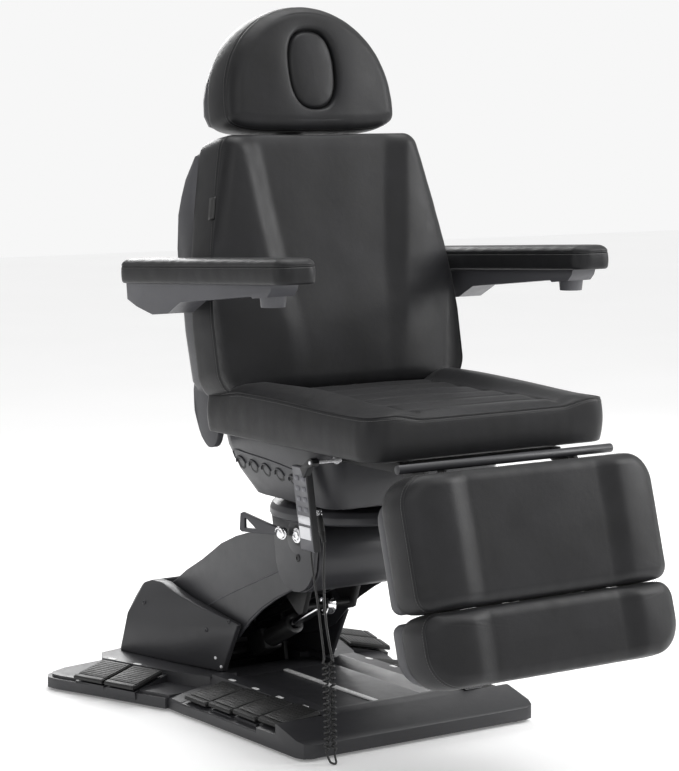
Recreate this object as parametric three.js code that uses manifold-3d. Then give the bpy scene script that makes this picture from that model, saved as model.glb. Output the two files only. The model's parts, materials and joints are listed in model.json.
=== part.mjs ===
// Electrically adjustable facial treatment bed, in its chair position.
// Frame: millimetres, +Z up, the sitter faces -Y, +X is the sitter's left.
// Origin: the swivel axis at floor level.

import * as THREE from 'three';
import { mergeVertices } from 'three/addons/utils/BufferGeometryUtils.js';
import Module from 'manifold-3d';

const wasm = await Module();
wasm.setup();

// ---------------------------------------------------------------- driving dimensions
const FOOT_H = 6;                       // rubber foot height under the base plate
const PLATE_T = 6;                      // base plate thickness
const BASE_HALF_FRONT = 298;            // half width of the front of the base
const BASE_FRONT_Y = -250;
const SEAM_Y = 266;                     // joint between the front and rear base covers
const REAR_CORNER = [420, 588];         // flared rear corners of the base
const REAR_MID_Y = 668;
const CHANNEL_Z = 50;                   // floor of the channel between the pedal decks
const PEDAL_L = 100, PEDAL_W = 84, PEDAL_T = 8, PEDAL_PITCH = 93, PEDAL_GAP = 5;
const P_TOP = [10, 358];                // lift arm upper pivot (y, z)
const P_BOT = [440, 175];               // lift arm lower pivot
const LINK_OFF = [5, -48];              // levelling link pivots, offset from the arm's pivots
const BARREL_R = 75;
const ARM_HALF = 130;                   // half width of the lift arm cover
const ACT_A = [400, 72], ACT_R = [100, 228];  // lift actuator's two pivots
const DRUM_R = 176, DRUM_Z = [447, 475.4];
const TILT = [95, 508];                 // seat tilt pivot
const LEG_PIVOT = [-500, 585], LEG_LEAN = 15.76;
const LEG_HALF = 300;
const BACK_PIVOT = [90, 640], BACK_LEAN = 11.5;
const HEAD_PIVOT = [578, -28];          // (s, n) in the backrest's own frame
const ARM_PIVOT = [165, 903];
const ARM_X = [324, 404];               // inner and outer edge of an arm pad
const CORD_D = 4.6, COIL_D = 13.4;

// ---------------------------------------------------------------- materials
const mat = (color, roughness, metalness) => new THREE.MeshStandardMaterial({ color, roughness, metalness });
const leather = () => mat(0x1d1d20, 0.45, 0);
const plastic = () => mat(0x26272a, 0.5, 0);
const shellGrey = () => mat(0x3b3d41, 0.5, 0);
const steelBlack = () => mat(0x1b1c1f, 0.45, 0.6);
const chrome = () => mat(0xd9dbde, 0.12, 1);
const rubber = () => mat(0x121213, 0.85, 0);

// ---------------------------------------------------------------- geometry helpers
const D2R = Math.PI / 180;
function M(geo) {
  let g = geo.index ? geo : geo;
  g = g.clone();
  g.deleteAttribute('normal');
  g.deleteAttribute('uv');
  g = mergeVertices(g, 1e-3);
  return new wasm.Manifold(new wasm.Mesh({
    numProp: 3,
    vertProperties: new Float32Array(g.attributes.position.array),
    triVerts: new Uint32Array(g.index.array),
  }));
}
function G(m) {
  const me = m.getMesh();
  const g = new THREE.BufferGeometry();
  g.setAttribute('position', new THREE.BufferAttribute(new Float32Array(me.vertProperties), 3));
  g.setIndex(new THREE.BufferAttribute(new Uint32Array(me.triVerts), 1));
  return g;
}
const union = (...ms) => ms.reduce((a, b) => a.add(b));
const cut = (a, ...ms) => ms.reduce((x, b) => x.subtract(b), a);

// Turns a geometry built in a local X, Y (outline) and Z (depth) frame so that its depth runs along a row axis.
function along(geo, axis, a, b) {
  const m = new THREE.Matrix4();
  if (axis === 'x') m.makeBasis(new THREE.Vector3(0, 1, 0), new THREE.Vector3(0, 0, 1), new THREE.Vector3(1, 0, 0)).setPosition(a, 0, 0);
  if (axis === 'y') m.makeBasis(new THREE.Vector3(1, 0, 0), new THREE.Vector3(0, 0, 1), new THREE.Vector3(0, -1, 0)).setPosition(0, b, 0);
  if (axis === 'z') m.identity().setPosition(0, 0, a);
  return geo.applyMatrix4(m);
}
// Outline points extruded along an axis: (y, z) along x, (x, z) along y, (x, y) along z.
function prism(points, axis, a, b) {
  const s = new THREE.Shape(points.map((p) => new THREE.Vector2(p[0], p[1])));
  return along(new THREE.ExtrudeGeometry(s, { depth: b - a, bevelEnabled: false, curveSegments: 4 }), axis, a, b);
}
// A soft-edged slab from a closed outline, its edges rounded by e.
function slab(points, axis, a, b, e, seg = 2) {
  const s = new THREE.Shape(points.map((p) => new THREE.Vector2(p[0], p[1])));
  const g = new THREE.ExtrudeGeometry(s, {
    depth: b - a - 2 * e, bevelEnabled: true, bevelThickness: e, bevelSize: e, bevelOffset: -e, bevelSegments: seg, curveSegments: 4,
  });
  g.translate(0, 0, e);
  return along(g, axis, a, b);
}
const box = (x0, x1, y0, y1, z0, z1) => new THREE.BoxGeometry(x1 - x0, y1 - y0, z1 - z0)
  .translate((x0 + x1) / 2, (y0 + y1) / 2, (z0 + z1) / 2);
// A round bar along an axis through (p, q), the two other coordinates in X, Y, Z order.
function bar(axis, p, q, a, b, r, seg = 20, r2 = r) {
  const g = new THREE.CylinderGeometry(r2, r, b - a, seg).rotateX(Math.PI / 2).translate(0, 0, (a + b) / 2);
  if (axis === 'x') return g.applyMatrix4(new THREE.Matrix4().makeBasis(new THREE.Vector3(0, 1, 0), new THREE.Vector3(0, 0, 1), new THREE.Vector3(1, 0, 0)).setPosition(0, p, q));
  if (axis === 'y') return g.applyMatrix4(new THREE.Matrix4().makeBasis(new THREE.Vector3(0, 0, 1), new THREE.Vector3(1, 0, 0), new THREE.Vector3(0, 1, 0)).setPosition(p, 0, q));
  return g.translate(p, q, 0);
}
// Rounded rectangle outline.
function rrect(x0, x1, y0, y1, r, n = 4) {
  const rr = Array.isArray(r) ? r : [r, r, r, r]; // lower left, lower right, upper right, upper left
  const c = [[x0 + rr[0], y0 + rr[0], 180, rr[0]], [x1 - rr[1], y0 + rr[1], 270, rr[1]], [x1 - rr[2], y1 - rr[2], 0, rr[2]], [x0 + rr[3], y1 - rr[3], 90, rr[3]]];
  const pts = [];
  for (const [cx, cy, a0, R] of c) for (let i = 0; i <= n; i++) {
    const a = (a0 + 90 * i / n) * D2R;
    pts.push([cx + R * Math.cos(a), cy + R * Math.sin(a)]);
  }
  return pts;
}
// Rounds the corners of an outline by cutting each with a short arc.
function soften(points, r, n = 3) {
  const out = [], N = points.length;
  for (let i = 0; i < N; i++) {
    const p = new THREE.Vector2(...points[i]), a = new THREE.Vector2(...points[(i + N - 1) % N]), b = new THREE.Vector2(...points[(i + 1) % N]);
    const R = Math.min(r, p.distanceTo(a) * 0.45, p.distanceTo(b) * 0.45);
    const s = p.clone().lerp(a, R / p.distanceTo(a)), e = p.clone().lerp(b, R / p.distanceTo(b));
    for (let k = 0; k <= n; k++) {
      const t = k / n;
      out.push([(1 - t) * (1 - t) * s.x + 2 * t * (1 - t) * p.x + t * t * e.x, (1 - t) * (1 - t) * s.y + 2 * t * (1 - t) * p.y + t * t * e.y]);
    }
  }
  return out;
}
// A solid through a stack of convex rings of equal point count, each ring a list of [x, y, z].
function loft(rings) {
  const n = rings[0].length, pos = [], idx = [];
  for (const r of rings) for (const p of r) pos.push(...p);
  for (let k = 0; k + 1 < rings.length; k++) for (let i = 0; i < n; i++) {
    const a = k * n + i, b = k * n + (i + 1) % n, c = a + n, d = b + n;
    idx.push(a, b, d, a, d, c);
  }
  for (const [k, flip] of [[0, true], [rings.length - 1, false]]) {
    const c = rings[k].reduce((s, p) => [s[0] + p[0] / n, s[1] + p[1] / n, s[2] + p[2] / n], [0, 0, 0]);
    const ci = pos.length / 3; pos.push(...c);
    for (let i = 0; i < n; i++) { const a = k * n + i, b = k * n + (i + 1) % n; if (flip) idx.push(ci, b, a); else idx.push(ci, a, b); }
  }
  const g = new THREE.BufferGeometry();
  g.setAttribute('position', new THREE.Float32BufferAttribute(pos, 3));
  g.setIndex(idx);
  return g;
}
const ringAt = (pts, z) => pts.map((p) => [p[0], p[1], z]);
// A round tube through points.
function tube(points, d, steps, sides = 8) {
  const s = new THREE.Shape();
  for (let i = 0; i < sides; i++) {
    const a = 2 * Math.PI * i / sides, x = d / 2 * Math.cos(a), y = d / 2 * Math.sin(a);
    if (i === 0) s.moveTo(x, y); else s.lineTo(x, y);
  }
  s.closePath();
  const path = new THREE.CatmullRomCurve3(points.map((p) => new THREE.Vector3(...p)), false, 'centripetal');
  return new THREE.ExtrudeGeometry(s, { steps, extrudePath: path, bevelEnabled: false });
}
// Link bar between two (y, z) pivots: a plate with round eyes, with optional holes.
function linkPlate(p, q, half, x0, x1, rp, rq, hp, hq) {
  const d = new THREE.Vector2(q[0] - p[0], q[1] - p[1]).normalize(), n = [-d.y * half, d.x * half];
  let m = M(prism([[p[0] - n[0], p[1] - n[1]], [q[0] - n[0], q[1] - n[1]], [q[0] + n[0], q[1] + n[1]], [p[0] + n[0], p[1] + n[1]]], 'x', x0, x1));
  m = union(m, M(bar('x', p[0], p[1], x0, x1, rp, 24)), M(bar('x', q[0], q[1], x0, x1, rq, 24)));
  if (hp) m = cut(m, M(bar('x', p[0], p[1], x0 - 1, x1 + 1, hp, 20)));
  if (hq) m = cut(m, M(bar('x', q[0], q[1], x0 - 1, x1 + 1, hq, 20)));
  return m;
}
const mirrorX = (m) => {                // the same solid on the other side
  const g = G(m);
  g.applyMatrix4(new THREE.Matrix4().makeScale(-1, 1, 1));
  const ix = g.index.array;
  for (let i = 0; i < ix.length; i += 3) { const t = ix[i]; ix[i] = ix[i + 1]; ix[i + 1] = t; }
  return M(g);
};
const both = (m) => union(m, mirrorX(m));

const bed = new THREE.Group();
function add(parent, name, shape, material) {
  const geo = shape.getMesh ? G(shape) : shape;
  geo.computeVertexNormals();
  const mesh = new THREE.Mesh(geo, material);
  mesh.name = name;
  parent.add(mesh);
  return mesh;
}

// ================================================================ base
const outlineHalf = [[BASE_HALF_FRONT - 24, BASE_FRONT_Y], [BASE_HALF_FRONT - 7, BASE_FRONT_Y + 6], [BASE_HALF_FRONT, BASE_FRONT_Y + 24],
  [BASE_HALF_FRONT, 150], [303, 255], [372, 448], [REAR_CORNER[0] - 6, REAR_CORNER[1] - 32], [REAR_CORNER[0], REAR_CORNER[1]],
  [REAR_CORNER[0] - 14, REAR_CORNER[1] + 24], [360, 634], [200, 660], [90, REAR_MID_Y]];
const outline = [...outlineHalf, ...outlineHalf.slice().reverse().map(([x, y]) => [-x, y])];
const inset = (pts, d) => {             // moves an outline inwards
  const N = pts.length, out = [];
  for (let i = 0; i < N; i++) {
    const a = new THREE.Vector2(...pts[(i + N - 1) % N]), p = new THREE.Vector2(...pts[i]), b = new THREE.Vector2(...pts[(i + 1) % N]);
    const e1 = p.clone().sub(a).normalize(), e2 = b.clone().sub(p).normalize();
    const n1 = new THREE.Vector2(-e1.y, e1.x), n2 = new THREE.Vector2(-e2.y, e2.x), m = n1.add(n2).normalize();
    const k = d / Math.max(0.4, m.dot(n2));
    out.push([p.x + m.x * k, p.y + m.y * k]);
  }
  return out;
};
const Z0 = FOOT_H, Z1 = FOOT_H + PLATE_T;

// steel base plate with five rubber-shod pads under it
let plate = M(prism(inset(outline, 12), 'z', Z0, Z1));
const padRoom = M(prism(inset(outline, 13), 'z', -1, Z0 + 2));
for (const [x, y, r] of [[258, -212, 22], [-258, -212, 22], [368, 572, 22], [-368, 572, 22], [0, 0, 40]]) plate = union(plate, M(bar('z', x, y, 0, Z0 + 1, r, 16)).intersect(padRoom));
add(bed, 'base_plate', plate, steelBlack());
const plateRoom = M(prism(inset(outline, 11), 'z', Z0 - 5, Z1 + 0.4));

// pedal places: outer end centre, direction inwards (unit), heights of the top face at the outer and inner end
const pedals = [];
const FL = 18 * D2R;
for (let k = 0; k < 4; k++) pedals.push({ o: [-291 + 2 * k, 172 - PEDAL_PITCH * k], d: [1, 0], zo: 42 + 3.5 * k, zi: 62 + 2.5 * k });
for (let k = 0; k < 2; k++) pedals.push({ o: [-359 - 27.5 * k, 379 + 88.6 * k], d: [Math.cos(FL), Math.sin(FL)], zo: 44, zi: 62 });
// a slab in a pedal's place: from u0 to u1 inwards, w wide, with its top at dz from the pedal's own top and t thick
function pedalSlab(p, u0, u1, w, dz, t, e = 0) {
  const sl = Math.atan2(p.zi - p.zo, PEDAL_L);
  const pts = [[u0, dz - t], [u1, dz - t], [u1, dz], [u0, dz]];
  const g = e ? slab(soften(pts, 2, 1), 'y', -w / 2, w / 2, e, 1) : prism(pts, 'y', -w / 2, w / 2);
  g.rotateY(-sl).translate(0, 0, p.zo).rotateZ(Math.atan2(p.d[1], p.d[0])).translate(p.o[0], p.o[1], 0);
  return M(g);
}

const deckProfile = [[300, Z0], [300, 25], [296, 29], [194, 47], [188, 66], [150, 66], [124, CHANNEL_Z], [-124, CHANNEL_Z], [-150, 66], [-188, 66], [-194, 47], [-296, 29], [-300, 25], [-300, Z0]];
const rampProfile = [[BASE_FRONT_Y - 2, Z0], [BASE_FRONT_Y - 2, 31], [-244, 37], [-160, 60], [-128, 64], [-112, 62], [-96, CHANNEL_Z], [-80, CHANNEL_Z], [-80, Z0]];
const outlinePrism = M(prism(outline, 'z', Z0, 90));
const half = (y0, y1) => M(box(-500, 500, y0, y1, 0, 120));

let frontCover = union(M(prism(deckProfile, 'y', -130, SEAM_Y)), M(prism(rampProfile, 'x', -300, 300)));
frontCover = frontCover.intersect(outlinePrism).intersect(half(-300, SEAM_Y));
for (const p of pedals.slice(0, 4)) frontCover = cut(frontCover, both(pedalSlab(p, -40, PEDAL_L + 2, PEDAL_W + 5, 50, 50 + PEDAL_T + PEDAL_GAP)));
for (const p of pedals.slice(0, 4)) frontCover = union(frontCover, both(pedalSlab(p, 2, PEDAL_L + 14, PEDAL_W, -PEDAL_T - PEDAL_GAP, 16)));
frontCover = cut(frontCover, plateRoom);
add(bed, 'base_cover_front', frontCover, plastic());

// rear cover: flared deck with a raised middle that carries the tower
let rearCover = M(prism(inset(outline, 0), 'z', Z0, 29));
rearCover = union(rearCover, M(prism(inset(outline, 10), 'z', 20, 35)));
const plateau = [[190, SEAM_Y - 4], [212, 300], [258, 430], [296, 560], [270, 610], [150, 640]];
rearCover = union(rearCover, M(prism([...plateau, ...plateau.slice().reverse().map(([x, y]) => [-x, y])], 'z', 20, 61)));
for (const p of pedals.slice(4)) rearCover = union(rearCover, both(pedalSlab(p, 4, PEDAL_L + 16, PEDAL_W, -PEDAL_T - PEDAL_GAP, 18)));
rearCover = rearCover.intersect(half(SEAM_Y + 0.4, 800));
// well inside the tower, where the bracket and the arm stand
rearCover = cut(rearCover, plateRoom, M(box(-100, 100, 350, 520, 0, 90)), M(box(-124, 124, SEAM_Y - 10, 351, CHANNEL_Z, 90)));
add(bed, 'base_cover_rear', rearCover, plastic());

add(bed, 'guide_strip', slab(rrect(-11, 11, -93, 262, 5, 2), 'z', CHANNEL_Z + 0.3, CHANNEL_Z + 4, 1, 1), chrome());

// tower bracket: two steel cheeks on a foot flange, with the arm, link and actuator pins
let bracket = M(box(-96, 96, 362, 508, Z1 + 0.4, Z1 + 10));
const cheek = [[372, Z1 + 8], [500, Z1 + 8], [478, 175], [466, 205], [440, 213], [414, 205], [402, 175]];
bracket = union(bracket, both(M(prism(cheek, 'x', 76, 86))),
  M(bar('x', P_BOT[0], P_BOT[1], -92, 92, 14, 24)),
  M(bar('x', P_BOT[0] + LINK_OFF[0], P_BOT[1] + LINK_OFF[1], 32, 78, 8, 16)),
  M(bar('x', ACT_A[0], ACT_A[1], -78, 78, 8, 16)));
add(bed, 'tower_bracket', bracket, steelBlack());

// tower cover: faceted pedestal, open at the front and on top for the arm
const towerRing = (z, fx, fy, mx, my, rx, ry, bx, by) => [[-fx, fy, z], [fx, fy, z], [mx, my, z], [rx, ry, z], [bx, by, z], [-bx, by, z], [-rx, ry, z], [-mx, my, z]];
let tower = M(loft([
  towerRing(61.4, 150, 286, 192, 440, 226, 602, 198, 646),
  towerRing(145, 149, 241, 176, 430, 206, 602, 184, 634),
  towerRing(180, 148.5, 222, 166, 422, 188, 594, 168, 626),
  towerRing(228, 148, 198, 156, 414, 166, 580, 150, 604),
]));
// the top edge dips from the rear to the front
tower = cut(tower, M(prism([[150, 168], [223, 178], [340, 193], [430, 206], [520, 225.5], [560, 225.5], [626, 202], [680, 190], [680, 300], [150, 300]], 'x', -300, 300)));
tower = cut(tower, M(box(-137, 137, 150, 556, 50, 400)), M(box(-100, 100, 330, 530, 40, 70)));
add(bed, 'tower_cover', tower, plastic());

// pedals: sprung plates, six on each side
pedals.forEach((p, i) => {
  let m = pedalSlab(p, 0, PEDAL_L, PEDAL_W, 0, PEDAL_T, 1);
  add(bed, `pedal_right_${i + 1}`, m, rubber());
  add(bed, `pedal_left_${i + 1}`, mirrorX(m), rubber());
});

// ================================================================ lift arm
let armFrame = linkPlate(P_TOP, P_BOT, 25, 58, 70, 30, 30, 0, 0);
armFrame = union(armFrame, M(prism([[40, 345], [200, 277], [112, 216], [100, 212], [88, 218], [84, 230]], 'x', 58, 70)));
armFrame = cut(armFrame, M(bar('x', P_TOP[0], P_TOP[1], 50, 80, 14.5, 24)), M(bar('x', P_BOT[0], P_BOT[1], 50, 80, 14.5, 24)));
const armMid = [(P_TOP[0] + P_BOT[0]) / 2, (P_TOP[1] + P_BOT[1]) / 2];
armFrame = union(both(armFrame), M(bar('x', armMid[0], armMid[1], -60, 60, 14, 20)), M(bar('x', ACT_R[0], ACT_R[1], -60, 60, 8, 16)));
add(bed, 'lift_arm_frame', armFrame, steelBlack());

// cover: an arched hood over the arm with a round nose, open underneath
const nose = [];
for (let a = 100; a <= 265; a += 15) nose.push([P_TOP[0] + BARREL_R * Math.cos(a * D2R), P_TOP[1] + BARREL_R * Math.sin(a * D2R)]);
const hood = [...nose, [40, 282], [100, 252], [155, 220], [205, 183], [250, 142], [300, 118], [380, 98], [470, 106], [515, 140], [540, 190],
  [531, 219], [470, 258], [400, 294], [320, 342], [260, 367], [213, 381], [115, 399], [60, 423]];
const noseIn = [];
for (let a = 100; a <= 250; a += 15) noseIn.push([P_TOP[0] + (BARREL_R - 5) * Math.cos(a * D2R), P_TOP[1] + (BARREL_R - 5) * Math.sin(a * D2R)]);
const hoodIn = [...noseIn, [4, 270], [60, 230], [180, 120], [300, 60], [560, 60], [560, 130], [534, 190], [527, 214], [467, 252], [397, 288], [317, 336], [258, 361], [211, 375], [114, 393], [60, 417]];
let armCover = cut(M(prism(hood, 'x', -ARM_HALF, ARM_HALF)), M(prism(hoodIn, 'x', -ARM_HALF + 5, ARM_HALF - 5)),
  M(bar('x', P_TOP[0], P_TOP[1], -200, 200, 17, 24)));
add(bed, 'lift_arm_cover', armCover, plastic());

// levelling link: runs parallel to the arm and keeps the yoke upright; its upper eye is the open pivot
const lp = [P_TOP[0] + LINK_OFF[0], P_TOP[1] + LINK_OFF[1]], lq = [P_BOT[0] + LINK_OFF[0], P_BOT[1] + LINK_OFF[1]];
add(bed, 'levelling_link', linkPlate(lp, lq, 8, 37, 48, 15, 15, 10, 8.5), steelBlack());

// lift actuator: motor tube pivoted on the bracket, rod pushing the arm; the rod's eye is the open pivot
const actDir = new THREE.Vector2(ACT_R[0] - ACT_A[0], ACT_R[1] - ACT_A[1]), actLen = actDir.length(); actDir.normalize();
const actAng = Math.atan2(actDir.y, -actDir.x);
const onAct = (g) => g.rotateX(-actAng).translate(0, ACT_A[0], ACT_A[1]);   // built along -Y from the rear pivot
let motor = union(M(bar('y', 0, 0, -200, -22, 22, 20)), M(box(-12, 12, -40, 0, -14, 14)), M(bar('x', 0, 0, -12, 12, 17, 20)),
  M(slab(rrect(-24, 24, -96, -28, 8, 2), 'z', -24, 26, 3, 1)));
motor = cut(motor, M(bar('x', 0, 0, -20, 20, 8.5, 20)), M(bar('y', 0, 0, -210, -50, 12.5, 20)));
add(bed, 'lift_motor', onAct(G(motor)), steelBlack());
let rod = union(M(bar('y', 0, 0, -actLen + 18, -80, 11.5, 20)), M(bar('x', -actLen, 0, -10, 10, 23, 24)));
rod = cut(rod, M(bar('x', -actLen, 0, -20, 20, 15, 20)));
add(bed, 'lift_rod', onAct(G(rod)), chrome());

// ================================================================ yoke and swivel
const cheekPts = [];
for (let a = 180; a <= 360; a += 15) cheekPts.push([P_TOP[0] + 72 * Math.cos(a * D2R), P_TOP[1] + 72 * Math.sin(a * D2R)]);
cheekPts.push([88, 400], [98, 447], [-74, 447]);
let yoke = both(M(prism(cheekPts, 'x', 133.5, 143)));
yoke = union(yoke, M(box(-143, 143, -74, 98, 438, 450)),
  M(new THREE.LatheGeometry([[0, 440], [DRUM_R - 24, 440], [DRUM_R - 4, 441.5], [DRUM_R, 446], [DRUM_R, 458], [DRUM_R - 6, 469], [DRUM_R - 20, DRUM_Z[1]], [0, DRUM_Z[1]]]
    .map((p) => new THREE.Vector2(...p)), 36).rotateX(Math.PI / 2)),
  M(bar('x', P_TOP[0], P_TOP[1], -138, 138, 14, 24)),
  linkPlate(P_TOP, lp, 11, 24, 33, 22, 13, 0, 0),
  M(bar('x', lp[0], lp[1], 24, 54, 8, 16)));
add(bed, 'yoke', yoke, steelBlack());

// swivel lock: loop handle on a sprung latch
const lockG = new THREE.Group();
lockG.position.set(-150, 34, 408);
lockG.rotation.set(6 * D2R, 0, 19.6 * D2R);
bed.add(lockG);
const loop = cut(M(slab([[4, -7], [14, -7], [112, -19], [118, -15], [118, 20], [112, 24], [14, 8], [4, 7]].map(([a, b]) => [a, b]), 'x', -4, 4, 1, 1)),
  M(prism([[74, -5], [104, -9], [106, 12], [102, 13]], 'x', -8, 8)));
add(lockG, 'swivel_lock_lever', union(loop, M(bar('x', 8, 0, -6.5, 6, 10, 16))), plastic());
add(lockG, 'swivel_lock_bolt', union(M(bar('x', 0, 0, -18, -11, 9, 16)), M(bar('x', 0, 0, -12, -6.8, 12, 16))), chrome());

// ================================================================ seat turntable
let table = union(M(bar('z', 0, 0, 476, 484, 150, 40)), both(M(prism([[68, 483], [122, 483], [115, 515], [95, 527], [76, 515]], 'x', 62, 72))),
  M(bar('x', TILT[0], TILT[1], -72, 72, 10, 20)), M(box(-60, 60, -125, -75, 483, 500)));
add(bed, 'turntable', table, steelBlack());

// ================================================================ seat
let frame = union(
  both(M(box(180, 200, -440, 112, 598, 618))),
  M(box(-195, 195, -436, -404, 598, 618)), M(box(-195, 195, 78, 112, 598, 618)), M(box(-195, 195, -120, -80, 598, 618)),
  both(M(prism([[79, 497], [111, 497], [111, 600], [79, 600]], 'x', 44, 58))),
  M(box(-30, 30, -118, -82, 500.6, 600)),
  both(union(M(prism([[-420, 598.5], [-420, 617], [-440, 617], [-456, 604], [-470, 600], [-490, 607], [-503, 608], [-514, 597], [-517, 583], [-508, 570], [-494, 569]], 'x', 180, 190)), M(bar('x', LEG_PIVOT[0], LEG_PIVOT[1], 158, 186, 10, 20)))),
  both(union(M(prism([[60, 600], [112, 600], [110, 645], [100, 657], [82, 657], [72, 648]], 'x', 195, 206)), M(bar('x', BACK_PIVOT[0], BACK_PIVOT[1], 200, 232, 10, 20)))));
frame = cut(frame, both(M(bar('x', TILT[0], TILT[1], 40, 60, 10.5, 20))));
add(bed, 'seat_frame', frame, steelBlack());

// shroud: a plastic tub under the seat
const tubRing = (hx, y0, y1, z, r) => ringAt(rrect(-hx, hx, y0, y1, r, 4), z);
const tub = M(loft([tubRing(186, -196, 92, 490, 40), tubRing(196, -208, 100, 494, 46), tubRing(226, -228, 124, 545, 50), tubRing(244, -240, 140, 596, 50), tubRing(248, -243, 144, 622, 50)]));
const tubIn = M(loft([tubRing(190, -202, 94, 495, 42), tubRing(220, -222, 118, 545, 46), tubRing(238, -234, 134, 596, 46), tubRing(243, -238, 139, 640, 46)]));
let shroud = cut(tub, tubIn, M(box(-110, 110, -160, 160, 480, 497)), M(box(-110, 110, 60, 200, 480, 540)),
  both(M(box(177, 203, -260, -200, 595, 630))), both(M(box(192, 236, 60, 160, 590, 630))));
add(bed, 'seat_shroud', shroud, plastic());

const barY = -254, barZ = 603;
add(bed, 'handset_hanger', union(M(bar('x', barY, barZ, -283, -208, 3.8, 12)), M(bar('y', -212, barZ, -257.5, -242.4, 3.8, 12)), M(bar('y', -212, barZ, -247, -243.2, 9, 12))), chrome());

// seat cushion
const seatPlan = [[-284, -472], [284, -472], [284, 100], [243, 100], [240, 60], [-240, 60], [-243, 100], [-284, 100]];
const seatSide = [[-476, 642], [-474, 634], [-458, 627], [100, 640], [103, 655], [103, 688], [60, 700], [20, 708], [-20, 712], [-200, 712], [-400, 711], [-452, 708], [-470, 700], [-476, 684]];
let seatCushion = M(prism(seatSide, 'x', -290, 290)).intersect(M(prism([
  ...rrect(-290, 290, -476, 100, [46, 46, 12, 12], 4)], 'z', 600, 760)));
// side bolsters, rising towards the backrest
const bolster = [[-448, 690], [-442, 708], [-400, 718], [-300, 726], [-200, 731], [-60, 733], [-32, 729], [-18, 716], [-18, 690]];
seatCushion = union(seatCushion, both(M(slab(bolster, 'x', 182, 286, 7, 2))));
seatCushion = cut(seatCushion, M(box(-241, 241, 60, 140, 600, 800)));
add(bed, 'seat_cushion', seatCushion, leather());

// ================================================================ handset and its cord
const hx = (z) => -279 + (590 - z) * 22 / 170;      // outer face of the handset, leaning in towards its foot
let handset = M(slab([[-183, 418], [-233, 418], [-233, 590], [-183, 590]].reverse(), 'x', 0, 17, 2, 1).applyMatrix4(
  new THREE.Matrix4().set(1, 0, -22 / 170, -279 + 590 * 22 / 170, 0, 1, 0, 0, 0, 0, 1, 0, 0, 0, 0, 1)));
handset = union(handset, M(prism([[-230, 570], [-219, 588], [-247, 610], [-254, 612], [-261, 609], [-264, 603], [-261, 597], [-254, 594.5], [-246, 592]], 'x', -282, -266)));
handset = cut(handset, M(bar('x', barY, barZ, -300, -260, 4.4, 16)));
const keyBox = (d, x0, x1) => M(prism([[x0 + hx(442 - d), 442 - d], [x1 + hx(442 - d), 442 - d], [x1 + hx(468 + d), 468 + d], [x0 + hx(468 + d), 468 + d]], 'y', -227 - d, -189 + d));
handset = cut(handset, keyBox(0.6, -10, 4));
add(bed, 'handset_body', handset, mat(0x55585d, 0.4, 0));
add(bed, 'handset_key', keyBox(0, -1.6, 1.6), mat(0xd9dadd, 0.35, 0));

// cord: handset lead, first curly run, floor loop, second curly run, plug lead
const plugTop = [-186, -140, 484.4], plugBot = [-188, -166, 422];
const plugAxis = new THREE.Vector3(...plugBot).sub(new THREE.Vector3(...plugTop)), plugLen = plugAxis.length();
const plug = new THREE.LatheGeometry([[0, 0], [8.4, 0], [8.4, 12], [7.2, 13], [7.2, 44], [4.2, plugLen], [0, plugLen]].map((p) => new THREE.Vector2(...p)), 16);
plug.applyQuaternion(new THREE.Quaternion().setFromUnitVectors(new THREE.Vector3(0, 1, 0), plugAxis.clone().normalize())).translate(...plugTop);
add(bed, 'cord_plug', plug, rubber());
add(bed, 'cord_lead_handset', tube([[-248.2, -208, 417.6], [-248.4, -209, 404], [-249, -215, 380], [-250, -224, 352], [-250.5, -233, 322], [-251, -241, 290], [-252.5, -250, 256], [-254, -259.5, 228], [-255, -266, 209.8]], CORD_D, 24), rubber());
add(bed, 'cord_coil_a', tube([[-255, -266, 209], [-256.5, -273, 120], [-259, -279, 21.5]], COIL_D, 4, 12), rubber());
add(bed, 'cord_loop', tube([[-259, -279.3, 20.9], [-259, -281.5, 13], [-257, -288, 5.5], [-250, -294.5, 2.7], [-243, -288, 5.5], [-241.8, -281.5, 13], [-241.8, -279.3, 20.9]], CORD_D, 12), rubber());
add(bed, 'cord_coil_b', tube([[-241.8, -279, 21.5], [-240, -273, 120], [-238.5, -266, 209]], COIL_D, 4, 12), rubber());
add(bed, 'cord_lead_plug', tube([[-238.5, -266, 209.8], [-238, -259, 228], [-236, -247, 256], [-231, -233, 290], [-222, -216, 322], [-210, -197, 352], [-198, -180, 382], [-190, -169.5, 408], [-188.1, -166.4, 421.6]], CORD_D, 24), rubber());

// ================================================================ leg rest
const legG = new THREE.Group();
legG.position.set(0, LEG_PIVOT[0], LEG_PIVOT[1]);
legG.rotation.x = -LEG_LEAN * D2R;      // its own -Z runs down the leg, its -Y out of the front face
bed.add(legG);
let legFrame = union(M(bar('x', 0, 0, -156, 156, 14, 20)), both(M(box(118, 138, -8, 8, -232, 4))), M(box(-138, 138, -8, 8, -60, -40)), M(box(-138, 138, -8, 8, -230, -212)),
  both(M(prism([[-30, 20], [-20, 34], [8, 8], [-8, -10]].reverse(), 'x', 150, 155.5))));
legFrame = cut(legFrame, both(M(bar('x', 0, 0, 157, 200, 10.5, 20))), both(M(bar('x', -26.8, 28.8, 140, 170, 9.3, 20))));
add(legG, 'leg_frame', legFrame, steelBlack());
add(legG, 'leg_bar', bar('x', -26.8, 28.8, -264, 264, 9, 20), steelBlack());
const legPanel = (h, z0, z1, r) => rrect(-h, h, z0, z1, r, 5);
let legShell = M(slab(legPanel(LEG_HALF - 8, -240, -20, [20, 20, 44, 44]), 'y', -9.4, 28, 9, 2));
legShell = cut(legShell, both(M(box(116, 140, -12, 9, -250, 20))), M(box(-140, 140, -12, 9, -62, -38)), M(box(-140, 140, -12, 9, -232, -208)),
  M(box(-142, 142, -12, 30, -260, -60)), both(M(box(140, 172, -40, 40, -45, 0))));
add(legG, 'leg_shell', legShell, shellGrey());
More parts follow.
